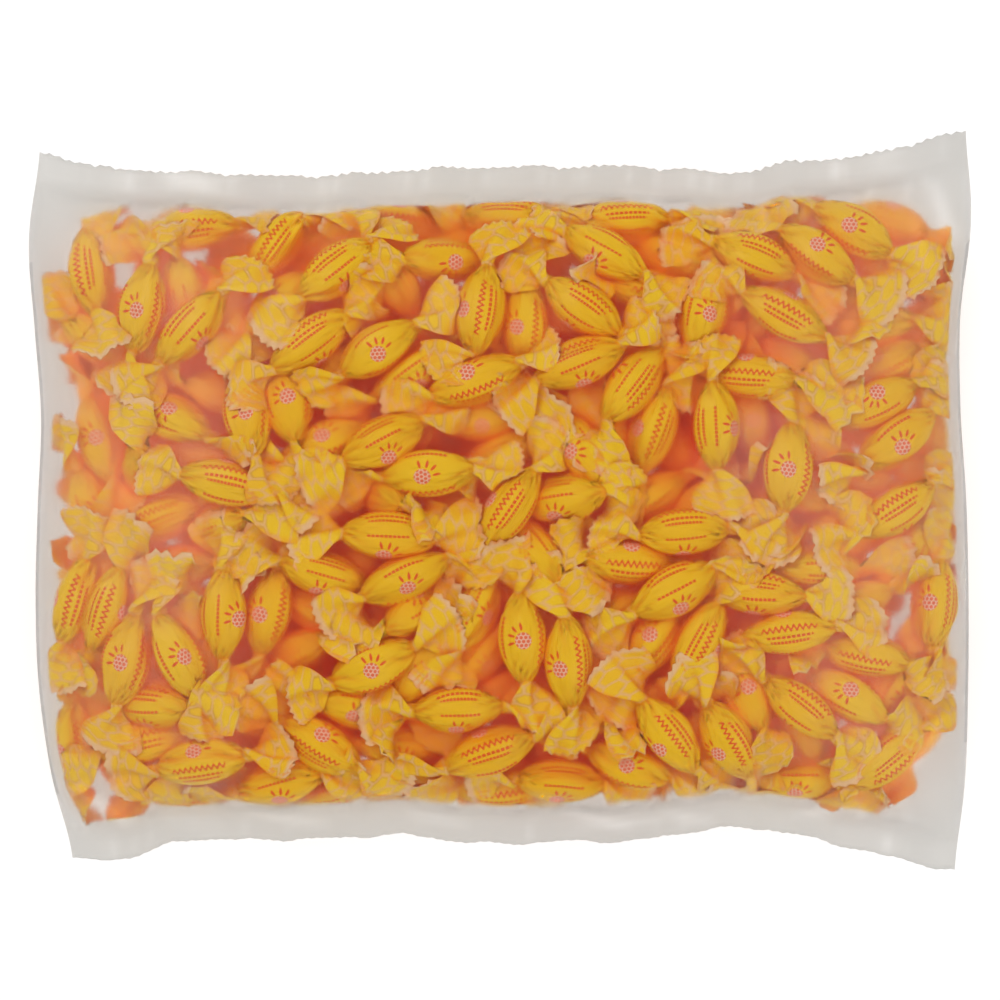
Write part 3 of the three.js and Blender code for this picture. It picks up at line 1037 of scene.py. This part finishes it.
def fan_material():
    """Yellow cells on crumpled film, which is bare and pale between them and along its cut edge, with
    painted orange shade where it faces away from the film.
    """
    material, tree, surface = new_material("twisted ends")
    uv = tree.nodes.new("ShaderNodeUVMap").outputs[0]
    border = use_group(tree, honeycomb, Place=uv, Cell=CELL_SIZE).outputs["Border"]
    parts = tree.nodes.new("ShaderNodeSeparateXYZ")
    tree.links.new(uv, parts.inputs[0])
    edge = smooth_node(tree, parts.outputs["Y"], FAN_LENGTH * 0.97, FAN_LENGTH * 0.88)
    inked = sum_node(tree, "MULTIPLY", smooth_node(tree, border, 1.03, 0.72), edge)
    patchy = smooth_node(tree, noise_node(tree, uv, 0.22, 1.0), 0.50, 0.64)
    line = sum_node(tree, "MULTIPLY", smooth_node(tree, border, 0.62, 0.78), inked)
    gold = sum_node(tree, "MULTIPLY", attribute_node(tree, "tint"), 0.5)
    cell = blend_node(tree, gold, CELL_YELLOW, WRAPPER_GOLD)
    cell = blend_node(tree, sum_node(tree, "MULTIPLY", line, patchy), cell, CELL_LINE)
    between = blend_node(tree, edge, CUT_EDGE, BARE_FILM)
    colour = blend_node(tree, inked, between, cell)
    # Painted shade: orange where the fan faces away from the film.
    away = sum_node(tree, "MULTIPLY", attribute_node(tree, "away"), RIM_SHADE_SHARE)
    colour = blend_node(tree, away, colour, LAYERED_AND_SHADED_ORANGE)
    satin(tree, surface, colour, 0.35, bump_node(tree, noise_node(tree, uv, 0.7), *CRUMPLE_BUMP))
    return material


fan_film = fan_material()

# %% [markdown]
# ## Fill the bag
#
# Every body takes its candy's centre and axis, and a random roll. Every fan starts at a neck and points
# along its tail. Near the film a fan lies flat against it, as it does in the bag, and deeper down it
# turns any way.

# %% Turns
def turn_of(direction, facing):
    """Euler turn that brings +X to direction and +Z as near as it can to facing."""
    x = Vector(direction).normalized()
    z = Vector(facing) - x * Vector(facing).dot(x)
    z = z.normalized() if z.length > 1e-6 else x.orthogonal().normalized()
    y = z.cross(x)
    return tuple(Matrix((x, y, z)).transposed().to_euler())


def skin_direction(points):
    """The way towards the nearest film."""
    slope = -read_grid(room_slope, points)
    return slope / np.maximum(np.linalg.norm(slope, axis=1, keepdims=True), 1e-6)


# %% Scatter the bodies
scatter_nodes = scatter_tree()
is_front = np.arange(CANDY_COUNT) < FRONT_COUNT
kind_of_body = np.where(is_front, rng.integers(0, FINE_KINDS, CANDY_COUNT),
                        FINE_KINDS + rng.integers(0, PLAIN_KINDS, CANDY_COUNT))
body_turns = [turn_of(a, rng.normal(size=3)) for a in axis]
body_stretch = rng.uniform(0.95, 1.04, (CANDY_COUNT, 3))
bodies = scatter_on_points(
    "wrapped_candies", scatter_nodes, body_kinds, wrapper, centre, body_turns, body_stretch, kind_of_body,
    rng.uniform(0, 1, CANDY_COUNT),
)

# %% Scatter the fans
NECK_INSET = 1.0
FRONT_TILT, HIDDEN_TILT = 0.2, 0.6
starts, ways = [], []
for tail, neck in ((5, 3), (6, 4)):
    way = balls[:, tail] - balls[:, neck]
    way /= np.linalg.norm(way, axis=1, keepdims=True)
    end = centre + np.sign(BALL_PLACES[neck]) * (0.5 * BODY_LENGTH - NECK_INSET) * axis
    starts.append(end)
    ways.append(way)
starts, ways = np.concatenate(starts), np.concatenate(ways)
front_fan = np.tile(is_front, 2)
facing = skin_direction(balls[:, 5:].transpose(1, 0, 2).reshape(-1, 3))
facing += rng.normal(0, 1, facing.shape) * np.where(front_fan, FRONT_TILT, HIDDEN_TILT)[:, None]
fan_turns = [turn_of(way, face) for way, face in zip(ways, facing)]
kind_of_fan = np.where(front_fan, rng.integers(0, FINE_KINDS, len(starts)),
                       FINE_KINDS + rng.integers(0, PLAIN_KINDS, len(starts)))
fan_stretch = rng.uniform(0.95, 1.1, (len(starts), 3))
fans = scatter_on_points(
    "twisted_ends", scatter_nodes, fan_kinds, fan_film, starts, fan_turns, fan_stretch, kind_of_fan,
    rng.uniform(0, 1, len(starts)),
)

# %% [markdown]
# ## Make room for each other
#
# Real fans bend round the bodies that they lie on, and nothing pokes through the film. So every point of a
# fan that lies in a body moves out of it: over the body where the fan lies nearer to the film, and else
# under it. Every point too near the film moves in. Then the three attributes that the finishes read for
# their painted shade and glow are written: how deep a point lies, how near it is to a side fold or the
# upper seal, and how far it faces away from the film.

# %% Fit the meshes
FILM_CLEARANCE = 0.45
BODY_CLEARANCE = 0.3
SOFT_DEPTH = 2.0
CLEARED_SHARE, CLEARED_PLUMPNESS = 0.86, 0.8
OVERLAP_STEP = 1.5
LEAN = 3.0
SLACK_FROM, SLACK_TO = 55.0, 125.0
TOP_SHIFT = 12.0
AWAY_FROM, AWAY_TO = 0.1, 0.97


def mesh_points(obj):
    """Vertex places in millimetres."""
    points = np.empty(len(obj.data.vertices) * 3)
    obj.data.vertices.foreach_get("co", points)
    return points.reshape(-1, 3) / MM


def set_mesh_points(obj, points):
    """Writes vertex places back."""
    obj.data.vertices.foreach_set("co", (points * MM).ravel())
    obj.data.update()


def out_of_bodies(points, owner_depth):
    """Moves points out of the bodies: over those that lie deeper than the point's fan, else under."""
    lean = skin_direction(points)
    for middle, way, depth in zip(centre, axis, read_grid(room_field, centre)):
        offset = points - middle
        close = np.nonzero(np.abs(offset).max(1) < 0.5 * BODY_LENGTH)[0]
        along = offset[close] @ way
        across = offset[close] - along[:, None] * way
        distance = np.linalg.norm(across, axis=1)
        t = 2 * along / BODY_LENGTH
        radius = body_radius(np.clip(t, -1, 1), CLEARED_PLUMPNESS)
        wanted = np.where(np.abs(t) < CLEARED_SHARE, radius + BODY_CLEARANCE, 0)
        inside = distance < wanted
        side = np.where(owner_depth[close[inside]] < depth - OVERLAP_STEP, 1, -1)[:, None]
        push = across[inside] + LEAN * side * lean[close[inside]]
        push -= (push @ way)[:, None] * way
        push /= np.maximum(np.linalg.norm(push, axis=1, keepdims=True), 1e-6)
        points[close[inside]] += push * (wanted - distance)[inside][:, None]
    return points


def within_film(points, soft=0.0):
    """Moves points that are too near the film inwards, the nearest ones most, from a soft depth on."""
    for _ in range(3):
        depth = read_grid(room_field, points)
        room = max(soft, 1e-6)
        eased = FILM_CLEARANCE + room * np.exp(np.minimum(depth - FILM_CLEARANCE - room, 0) / room)
        slope = read_grid(room_slope, points)
        slope /= np.maximum(np.linalg.norm(slope, axis=1, keepdims=True), LEAST_SLOPE)
        points = points + np.maximum(eased - depth, 0)[:, None] * slope
        soft *= 0.5
    return points


fan_points = mesh_points(fans)
tails = balls[:, 5:].transpose(1, 0, 2).reshape(-1, 3)
point_depth = np.repeat(read_grid(room_field, tails), fan_sizes[kind_of_fan])
for _ in range(2):
    fan_points = within_film(out_of_bodies(fan_points, point_depth), SOFT_DEPTH)
set_mesh_points(fans, fan_points)
set_mesh_points(bodies, within_film(mesh_points(bodies)))

for obj in (bodies, fans):
    points = mesh_points(obj)
    normals = np.empty(points.size)
    obj.data.vertex_normals.foreach_get("vector", normals)
    facing_film = (normals.reshape(-1, 3) * skin_direction(points)).sum(1)
    reach = np.maximum(np.abs(points[:, 0]), points[:, 1] + TOP_SHIFT)
    # These drive painted shade and glow: orange where a point faces away from the film, deep colour and glow
    # with depth, a yellower glow near the sides.
    for key, values in (
        ("away", 1 - smoothstep(AWAY_FROM, AWAY_TO, facing_film)),
        ("depth", np.maximum(read_grid(room_field, points), 0)),
        ("side", smoothstep(SLACK_FROM, SLACK_TO, reach)),
    ):
        layer = obj.data.attributes.new(key, "FLOAT", "POINT")
        layer.data.foreach_set("value", values.astype(np.float32))
print("Fans and bodies fit inside the film")

# %% [markdown]
# ## The film's outline
#
# The bag is a tube of film, welded shut and cut in a zigzag at both ends. Its plan outline is the packed
# bag's: how far each edge stands in from the box, in even steps, with a small wave along the cut edges.
# A grid of points over the plan, from side fold to side fold and from seal to seal, holds both sheets.

# %% Plan grid of the film
BAG_LENGTH, BAG_WIDTH = 294.0, 232.0
SEAL_DEPTH = 10.0
TOOTH_PITCH, TOP_TOOTH, BOTTOM_TOOTH = 3.2, 0.9, 0.35
LEFT_INSET = [13.5, 7, 3.2, 2.3, 3, 4, 2, 0.2, 3.4]
RIGHT_INSET = [5, 2.1, 1.2, 1.1, 1.8, 3.6, 3.6, 0.3, 1.5]
BOTTOM_INSET = [3.9, 4.2, 9.8, 10.1, 10.1, 10.9, 11.7, 9.5, 9, 9.8, 9.5, 12.1, 13.9, 12, 8, 3.9, 0.2]
TOP_INSET = [7.3, 11.7, 13.1, 13.9, 14.8, 14.5, 13.5, 12.3, 12, 12, 11.7, 12.6, 13.9, 10.1, 8.9, 4.9, 0.5]
EDGE_WAVE = 0.6
WAVES_PER_END = 11
BOTTOM_PHASE, TOP_PHASE = 0.7, 2.9
BODY_ROWS = 106
SEAL_ROWS = 5


def smooth_steps(values, t):
    """A smooth curve through even steps of values, read at t from 0 to 1."""
    knots = np.array([values[0], *values, values[-1]], dtype=float)
    place = np.clip(t, 0, 1) * (len(values) - 1)
    i = np.minimum(place.astype(int), len(values) - 2)
    f = place - i
    before, start, end, after = (knots[i + k] for k in range(4))
    rise, fall = 0.5 * (end - before), 0.5 * (after - start)
    cubic = (2 * start - 2 * end + rise + fall) * f + 3 * (end - start) - 2 * rise - fall
    return cubic * f * f + rise * f + start


def wander(t, waves, phase):
    """Three sines of unlike lengths."""
    turn = 2 * np.pi * t
    return (0.55 * np.sin(waves * turn + phase) + 0.3 * np.sin(1.73 * waves * turn + 2.1 * phase)
            + 0.15 * np.sin(3.1 * waves * turn + 3.7 * phase))


columns = 2 * round(BAG_LENGTH / TOOTH_PITCH)
seal_share = SEAL_DEPTH / BAG_WIDTH
seal_steps = np.linspace(0, seal_share, SEAL_ROWS + 1)[:-1]
body_steps = np.linspace(seal_share, 1 - seal_share, BODY_ROWS + 1)
v_steps = np.concatenate([seal_steps, body_steps, 1 - seal_steps[::-1]])
v, u = np.meshgrid(v_steps, np.linspace(0, 1, columns + 1), indexing="ij")
left = -BAG_LENGTH / 2 + smooth_steps(LEFT_INSET, v)
right = BAG_LENGTH / 2 - smooth_steps(RIGHT_INSET, v)
bottom = -BAG_WIDTH / 2 + smooth_steps(BOTTOM_INSET, u) + EDGE_WAVE * wander(u, WAVES_PER_END, BOTTOM_PHASE)
top = BAG_WIDTH / 2 - smooth_steps(TOP_INSET, u) + EDGE_WAVE * wander(u, WAVES_PER_END, TOP_PHASE)
film_x = left + u * (right - left)
film_y = bottom + v * (top - bottom)
film_y[0, 1::2] += BOTTOM_TOOTH * rng.uniform(0.2, 1, columns // 2)
film_y[-1, 1::2] -= TOP_TOOTH * rng.uniform(0.2, 1, columns // 2)
film_x += (bag_low[0] + bag_high[0] - film_x.min() - film_x.max()) / 2
film_y += (bag_low[1] + bag_high[1] - film_y.min() - film_y.max()) / 2
print(f"The film grid has {v.shape[0]} x {v.shape[1]} points")
print(f"It is {np.ptp(film_x):.1f} x {np.ptp(film_y):.1f} mm")

# %% [markdown]
# ## Film drawn over the candies
#
# Taut film touches the candies that stand highest and spans the hollows between them. The same comes out
# of a simple rule, repeated until it settles: every point takes the mean height of its neighbours, and
# rises to clear whatever is below it. The lower sheet does the same upside down, and rests on the table.
# Where the heap thins out near the edges, the two sheets run together into the seals and side folds.

# %% Rest the two sheets on the candies
FOLD_LEVEL = 13.0
CORNER_DROOP = 3.0
BUCKLE_WAVE, BUCKLE_REACH = 2.2, 0.8
SEAL_GAP = 0.5
FILM_REST = 0.3
SHEET_GAP = 0.7
SKIN_SLACK = 0.6
LEAST_HEIGHT = 0.5
SOFTEN_ROUNDS = 5
MEMBRANE_ROUNDS = 700


def heights_over(tree, from_above):
    """Height of the contents at each grid point, from above or from below, and NaN where there are none."""
    start, down = (bag_high[2] + 10, -1) if from_above else (-10.0, 1)
    found = [tree.ray_cast((x, y, start), (0, 0, down))[0] for x, y in zip(film_x.ravel(), film_y.ravel())]
    return np.array([np.nan if place is None else place.z for place in found]).reshape(film_x.shape)


def mean_of_neighbours(sheet):
    """The mean of each inner point's four neighbours."""
    return 0.25 * (sheet[:-2, 1:-1] + sheet[2:, 1:-1] + sheet[1:-1, :-2] + sheet[1:-1, 2:])


def settle_sheet(height, obstacle, above):
    """Laplace smoothing over the obstacle; above says on which side of it the sheet lies."""
    limit = np.fmax if above else np.fmin
    for _ in range(MEMBRANE_ROUNDS):
        mean = height.copy()
        mean[1:-1, 1:-1] = mean_of_neighbours(height)
        height = np.where(free, limit(mean, obstacle), height)
    return height


contents = [tree_of(bodies), tree_of(fans)]
phase = np.where(v < 0.5, TOP_PHASE, BOTTOM_PHASE)
near_end = smoothstep(BUCKLE_REACH, 1, np.abs(2 * v - 1))
fold_level = FOLD_LEVEL - CORNER_DROOP * np.abs(2 * u - 1) ** 3 * near_end
fold_level += near_end * BUCKLE_WAVE * wander(u, WAVES_PER_END / 2, phase)
in_seal = (v < seal_share + 1e-6) | (v > 1 - seal_share - 1e-6)
free = ~in_seal & (u > 0) & (u < 1)

tops = np.fmax(*(heights_over(tree, True) for tree in contents)) + FILM_REST
bottoms = np.fmin(*(heights_over(tree, False) for tree in contents)) - FILM_REST
skin = np.array([bag_height(x, y) or 0 for x, y in zip(film_x.ravel(), film_y.ravel())]).reshape(u.shape)
loose_tops = tops
tops = np.fmin(tops, skin + SKIN_SLACK)
upper = np.where(free, np.maximum(skin, fold_level), fold_level + SEAL_GAP / 2)
upper = settle_sheet(upper, tops, above=True)
lower = np.where(free, 0.0, fold_level - SEAL_GAP / 2)
lower = settle_sheet(lower, np.fmin(bottoms, upper - SHEET_GAP), above=False)
lower = np.where(free, np.maximum(lower, 0.0), lower)
for edge in (0, -1):
    upper[:, edge] = lower[:, edge] = fold_level[:, edge]
for _ in range(SOFTEN_ROUNDS):
    for sheet, limit, obstacle in ((upper, np.fmax, tops), (lower, np.fmin, bottoms)):
        mean = mean_of_neighbours(sheet)
        sheet[1:-1, 1:-1] = limit(0.5 * (sheet[1:-1, 1:-1] + mean), obstacle[1:-1, 1:-1])
upper, lower = np.maximum(upper, LEAST_HEIGHT), np.maximum(lower, 0)
print(f"The upper sheet reaches {upper.max():.1f} mm")
print(f"On average it is {np.mean(upper - lower):.1f} mm above the lower one")

# %% [markdown]
# ## Creases
#
# Slack film keeps sharp creases where it was folded: a long one at each lower corner, some at the top
# corners, and small puckers that run in from the seals. Each is a narrow ridge along a line, which fades
# out at both ends. The long ones were read off the photograph, and the puckers follow a seeded rule. A few
# long waves in random directions give the whole sheet a faint crinkle. The welded ends are too stiff for
# that, but they get short pale marks, painted highlights where they would catch the light. The creases
# are painted paler too, as highlights along them.

# %% Add the creases
# Each crease has its start x, y and end x, y from the middle of the bag, then its height and half-width.
LONG_CREASES = [
    (-133, -86, -113, -101, 1.1, 1.9), (125, -84, 137, -66, 1.0, 1.8), (-108, 103, -86, 97, 0.7, 2.2),
    (134, 100, 141, 78, 0.9, 2.6), (128, 90, 133, 70, 0.6, 2.2), (18, -95, 42, -102, 0.7, 1.6),
    (50, -97, 68, -100, 0.6, 1.6), (24, -101, 52, -99, 0.5, 1.4), (36, 96, 52, 93, 0.6, 1.6),
    (-30, -97, -8, -101, 0.5, 1.7), (-80, -96, -52, -101, 0.6, 1.8), (90, -98, 112, -94, 0.6, 1.8),
]
PUCKER_COUNT = 46
PUCKER_LENGTH = (6.0, 17.0)
PUCKER_HEIGHT = (0.15, 0.5)
PUCKER_WIDTH = (1.2, 2.0)
CRINKLE_WAVES = 14
CRINKLE_LENGTH = (7.0, 26.0)
CRINKLE_HEIGHT = 0.13
# Painted highlights: short pale marks on the welded ends.
STREAK_COUNT = 48
STREAK_SIZE = (1.2, 3.0)
GLINT_BRIGHTNESS = (0.1, 0.55)
# One row of the grid in the lower seal, and twice the one in the upper.
STREAK_ROWS = [2, -3, -3]


def crease(start, end, height, width):
    """The rise of one ridge at every grid point."""
    line = np.subtract(end, start)
    along = ((film_x - start[0]) * line[0] + (film_y - start[1]) * line[1]) / (line @ line)
    across = ((film_x - start[0]) * line[1] - (film_y - start[1]) * line[0]) / np.linalg.norm(line)
    bend = 0.12 * np.linalg.norm(line) * (along * (1 - along))
    return height * np.exp(-((across - bend) / width) ** 2) * np.clip(4 * along * (1 - along), 0, 1) ** 0.7


creases = sum(crease(row[:2], row[2:4], *row[4:]) for row in LONG_CREASES)
for _ in range(PUCKER_COUNT):
    at = rng.uniform(0.03, 0.97)
    length = rng.uniform(*PUCKER_LENGTH)
    lean = rng.normal(0, 0.3) * length
    is_top = rng.random() < 0.5
    row = -1 - SEAL_ROWS if is_top else SEAL_ROWS
    x, y = (np.interp(at, u[row], field[row]) for field in (film_x, film_y))
    end = x + lean, y - length if is_top else y + length
    creases = creases + crease((x, y), end, rng.uniform(*PUCKER_HEIGHT), rng.uniform(*PUCKER_WIDTH))
wave_ways = rng.uniform(0, math.pi, CRINKLE_WAVES)
wave_lengths = rng.uniform(*CRINKLE_LENGTH, CRINKLE_WAVES)
crinkle = sum(
    np.sin((film_x * math.cos(way) + film_y * math.sin(way)) * 2 * math.pi / length + rng.uniform(0, 6))
    for way, length in zip(wave_ways, wave_lengths)
) / math.sqrt(CRINKLE_WAVES)
# Painted highlights on the welded ends, which make the film's tone paler there.
streaks = 0
for _ in range(STREAK_COUNT):
    at, row = rng.uniform(0.02, 0.98), rng.choice(STREAK_ROWS)
    x, y = (np.interp(at, u[row], field[row]) for field in (film_x, film_y))
    wide, tall = rng.uniform(0.7, 1.3, 2) * STREAK_SIZE
    spot = np.exp(-((film_x - x) / wide) ** 2 - ((film_y - y) / tall) ** 2)
    streaks = streaks + rng.uniform(*GLINT_BRIGHTNESS) * spot
rise = creases + CRINKLE_HEIGHT * crinkle
upper = np.where(free, upper + rise * np.minimum(1, (upper - lower) / 3), upper)
print(f"Creases rise up to {creases.max():.1f} mm")

# %% [markdown]
# ## Where the film looks milky
#
# Film that touches a candy looks clear, and film that stands clear of the candies looks milky. It hangs
# slacker towards the side folds and in one patch on the right, where the veil is densest. All of this
# becomes one value at each point of the grid.

# %% Haze of each sheet
HAZE_GAP = (2.5, 12.0)
SLACK_PATCH, PATCH_SHARE = (84, 8, 30), 0.9
TAUT_SHARE = 0.12
SLACK_HAZE = 0.5

from_patch = np.hypot(film_x - SLACK_PATCH[0], film_y - SLACK_PATCH[1]) / SLACK_PATCH[2]
patch_slack = PATCH_SHARE * smoothstep(1, 0.3, from_patch)
slack = np.maximum(smoothstep(SLACK_FROM, SLACK_TO, np.abs(film_x)), patch_slack)
haze = []
for sheet_gap in (upper + FILM_REST - loose_tops, bottoms - lower):
    clear_of = smoothstep(*HAZE_GAP, np.nan_to_num(sheet_gap, nan=HAZE_GAP[1]))
    haze.append(clear_of * (TAUT_SHARE + (1 - TAUT_SHARE) * slack) + SLACK_HAZE * slack)
haze = [np.clip(values, 0, 1) for values in haze]
print(f"The upper sheet's haze is {haze[0].mean():.2f} on average")

# %% [markdown]
# ## Keep the contents between the sheets
#
# A fan's sharp corner can still stand through the film between two points of its grid. So every point of
# the contents looks up both sheets where it lies, and moves up or down until it is between them.

# %% Clamp the contents
CONTENT_GAP = 0.25
SIDE_MARGIN, END_MARGIN = 0.012, 1.05 * seal_share
EASE_LENGTH = 0.4


def grid_place(x, y):
    """The place of plan points on the film grid, as u, v and fractional row."""
    place_u, place_v = np.full_like(x, 0.5), np.full_like(y, 0.5)
    for _ in range(6):
        place_u = (x - (bag_low[0] + smooth_steps(LEFT_INSET, place_v))) / (
            bag_size[0] - smooth_steps(LEFT_INSET, place_v) - smooth_steps(RIGHT_INSET, place_v))
        place_u = np.clip(place_u, 0, 1)
        low_y, high_y = (np.interp(place_u, u[row], film_y[row]) for row in (1, -2))
        place_v = v_steps[1] + (y - low_y) / (high_y - low_y) * (v_steps[-2] - v_steps[1])
    return place_u, place_v


def read_film(grid, place_u, place_v):
    """A film grid's value between its points."""
    col = np.clip(place_u * columns, 0, columns - 1e-3)
    row = np.clip(np.interp(place_v, v_steps, np.arange(len(v_steps))), 0, len(v_steps) - 1 - 1e-3)
    i, j = row.astype(int), col.astype(int)
    a, b = row - i, col - j
    return ((1 - a) * ((1 - b) * grid[i, j] + b * grid[i, j + 1])
            + a * ((1 - b) * grid[i + 1, j] + b * grid[i + 1, j + 1]))


def eased_limit(share, margin):
    """Keeps shares from margin to 1 - margin, by squeezing those near the limits."""
    ease = EASE_LENGTH * margin
    low = margin + ease * np.exp(np.minimum(share - margin - ease, 0) / ease)
    high = 1 - margin - ease * np.exp(np.minimum(1 - margin - ease - share, 0) / ease)
    return np.where(share < margin + ease, low, np.where(share > 1 - margin - ease, high, share))


def between_sheets(points):
    """Moves points to lie between the two sheets."""
    place_u, place_v = grid_place(points[:, 0], points[:, 1])
    place_u = eased_limit(place_u, SIDE_MARGIN)
    place_v = eased_limit(place_v, END_MARGIN)
    low, high = (read_film(sheet, place_u, place_v) for sheet in (lower, upper))
    gap = np.minimum(CONTENT_GAP, 0.4 * (high - low))
    x, y = (read_film(grid, place_u, place_v) for grid in (film_x, film_y))
    return np.stack([x, y, np.clip(points[:, 2], low + gap, high - gap)], -1)


for obj in (bodies, fans):
    before = mesh_points(obj)
    after = between_sheets(before)
    set_mesh_points(obj, after)
    moved = np.linalg.norm(after - before, axis=1)
    print(f"{obj.name}: the points moved by {moved.mean():.2f} mm on average, {moved.max():.1f} mm at most")

# %% [markdown]
# ## The film as one closed shell
#
# The two sheets share the points of the side folds, and thin faces close the cut edges, so the bag is one
# closed surface. Solidify gives it the film's thickness on the inside. A lap seam runs up the underside,
# where the flat film was once closed into a tube.

# %% Build the film
FILM_THICKNESS = 0.12
LAP_PLACE, LAP_HALF_WIDTH, LAP_STEP = 4.0, 6.0, 0.25

lap = smoothstep(LAP_HALF_WIDTH + 1.6, LAP_HALF_WIDTH, np.abs(film_x - LAP_PLACE))
lower = lower + LAP_STEP * lap * free
rows, cols = u.shape
upper_ids = np.arange(rows * cols).reshape(rows, cols)
lower_ids = upper_ids.copy()
lower_ids[:, 1:-1] = rows * cols + np.arange(rows * (cols - 2)).reshape(rows, cols - 2)
film_points = np.concatenate([
    np.stack([film_x, film_y, upper], -1).reshape(-1, 3),
    np.stack([film_x, film_y, lower], -1)[:, 1:-1].reshape(-1, 3),
])


def sheet_faces(ids):
    """Quads of one sheet, facing up."""
    return np.stack([ids[:-1, :-1], ids[:-1, 1:], ids[1:, 1:], ids[1:, :-1]], -1).reshape(-1, 4)


film_faces = [*sheet_faces(upper_ids).tolist(), *sheet_faces(lower_ids)[:, ::-1].tolist()]
for row, flip in ((0, False), (-1, True)):
    for col in range(cols - 1):
        quad = [lower_ids[row, col], lower_ids[row, col + 1], upper_ids[row, col + 1], upper_ids[row, col]]
        film_faces.append(corners_once(quad, flip))
flat = np.stack([u, v], -1) * [BAG_LENGTH, BAG_WIDTH]
flat_uv = np.concatenate([flat.reshape(-1, 2), flat[:, 1:-1].reshape(-1, 2)])
film_uv = [flat_uv[index] for face in film_faces for index in face]
haze_points = np.concatenate([haze[0].ravel(), haze[1][:, 1:-1].ravel()])
# Painted highlights: the film's tone turns paler along the creases and on the welded ends.
glint_points = np.zeros(len(film_points))
glint_points[:upper.size] = np.clip(creases + streaks, 0, 1).ravel()
attributes = {"haze": haze_points, "crease": glint_points}
film = make_object("bag_film", film_points, film_faces, film_uv, attributes)
wall = film.modifiers.new("film thickness", "SOLIDIFY")
wall.thickness = FILM_THICKNESS * MM
wall.offset = -1
print(f"{film.name}: {2 * len(film_faces)} faces with both sides of the film")

# %% [markdown]
# ## The film's finish
#
# The film is clear but frosted. What touches it shows sharply, and what lies a little way behind it goes
# soft, which is just what a rough glass shader does: the rays spread a little as they pass, and so blur
# more with distance. Its tone is a light grey, partly the film's own and partly painted shade for the
# shadow that the film doesn't cast, so the empty margins, where two sheets lie over the pale table, come
# out grey. Its creases and the marks on its welded ends are paler, as painted highlights. A rough coat
# whose weight follows the haze makes it milky where it hangs slack. Glass would block lamps and bounced
# light, so the film casts no shadow and is left out of diffuse rays.

# %% Film material
# The film's tone is partly its own light grey and partly painted shade for the shadow that it doesn't cast.
FILM_TONE_AND_SHADE = (0.775, 0.765, 0.745, 1)
CREASE_GLINT_TONE = (0.96, 0.96, 0.95, 1)
FILM_IOR = 1.16
HAZE_IOR, HAZE_ROUGHNESS = 1.55, 0.6
CLOUD_SCALE = 0.04


def film_material():
    """Frosted clear film, milky where it stands clear of the candies."""
    material, tree, surface = new_material("frosted film")
    # Painted highlight: paler along creases and on the welded ends.
    tone = blend_node(tree, attribute_node(tree, "crease"), FILM_TONE_AND_SHADE, CREASE_GLINT_TONE)
    cloud = noise_node(tree, tree.nodes.new("ShaderNodeUVMap").outputs[0], CLOUD_SCALE)
    veil = sum_node(tree, "MULTIPLY_ADD", cloud, 1.0, 0.4)
    principled(
        tree, surface, Base_Color=tone, IOR=FILM_IOR, Transmission_Weight=1.0,
        Roughness=sum_node(tree, "MULTIPLY_ADD", cloud, 0.15, 0.28),
        Coat_Weight=sum_node(tree, "MULTIPLY", attribute_node(tree, "haze"), veil, clamp=True),
        Coat_Roughness=HAZE_ROUGHNESS, Coat_IOR=HAZE_IOR,
    )
    return material


film.data.materials.append(film_material())
film.visible_shadow = False
film.visible_diffuse = False

# %% [markdown]
# ## Table, light and camera
#
# A pale table that glows a little, as a light table does, a soft white sky and two large lamps give the
# even light of the photograph, with hardly a shadow. The camera looks straight down from far away through
# a long lens, so the bag's sides don't show.

# %% Table
FLOOR_HALF, FLOOR_LEVEL = 1500.0, -0.3
FLOOR_TONE = (0.42, 0.42, 0.42, 1)
FLOOR_GLOW = 0.68
WHITE = (1, 1, 1, 1)

corners = [(x * FLOOR_HALF, y * FLOOR_HALF, FLOOR_LEVEL) for x, y in ((-1, -1), (1, -1), (1, 1), (-1, 1))]
floor = make_object("table", corners, [(0, 1, 2, 3)])
paper, paper_tree, paper_surface = new_material("pale table")
principled(
    paper_tree, paper_surface, Base_Color=FLOOR_TONE, Roughness=0.9, Emission_Color=WHITE,
    Emission_Strength=FLOOR_GLOW,
)
floor.data.materials.append(paper)

# %% Light
SKY_STRENGTH = 0.66

world = bpy.data.worlds.new("studio")
world.use_nodes = True
sky = world.node_tree.nodes["Background"]
sky.inputs["Color"].default_value = WHITE
sky.inputs["Strength"].default_value = SKY_STRENGTH
bpy.context.scene.world = world


def soft_lamp(name, place, size, watts):
    """A square area lamp that faces the bag."""
    lamp = bpy.data.lights.new(name, "AREA")
    lamp.size = size
    lamp.energy = watts
    obj = bpy.data.objects.new(name, lamp)
    obj.location = place
    obj.rotation_euler = (-Vector(place)).to_track_quat("-Z", "Y").to_euler()
    bpy.context.scene.collection.objects.link(obj)


soft_lamp("upper_left_lamp", (-0.7, 0.9, 1.6), 1.2, 10)
soft_lamp("lower_right_lamp", (1.0, -0.7, 1.5), 1.4, 6)

# %% Camera
CAMERA_HEIGHT = 1.52
FOCUS_LEVEL = 0.02
VIEW_WIDTH = 0.310
SENSOR_WIDTH = 36.0

camera = bpy.data.cameras.new("camera")
camera.sensor_width = SENSOR_WIDTH
camera.lens = SENSOR_WIDTH * (CAMERA_HEIGHT - FOCUS_LEVEL) / VIEW_WIDTH
camera_object = bpy.data.objects.new("camera", camera)
camera_object.location = (0, 0, CAMERA_HEIGHT)
bpy.context.scene.collection.objects.link(camera_object)
bpy.context.scene.camera = camera_object
bpy.context.scene.view_settings.view_transform = "Standard"
print(f"The camera sees {VIEW_WIDTH * 1000:.0f} mm through a {camera.lens:.0f} mm lens")

# %% [markdown]
# ## Hand over
#
# Everything rides on the one body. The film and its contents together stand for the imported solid.

for piece, slot in ((film, "bag_film"), (bodies, "candy_wrapper"), (fans, "twisted_end")):
    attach(piece, "root")
    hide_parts("candy_bag")
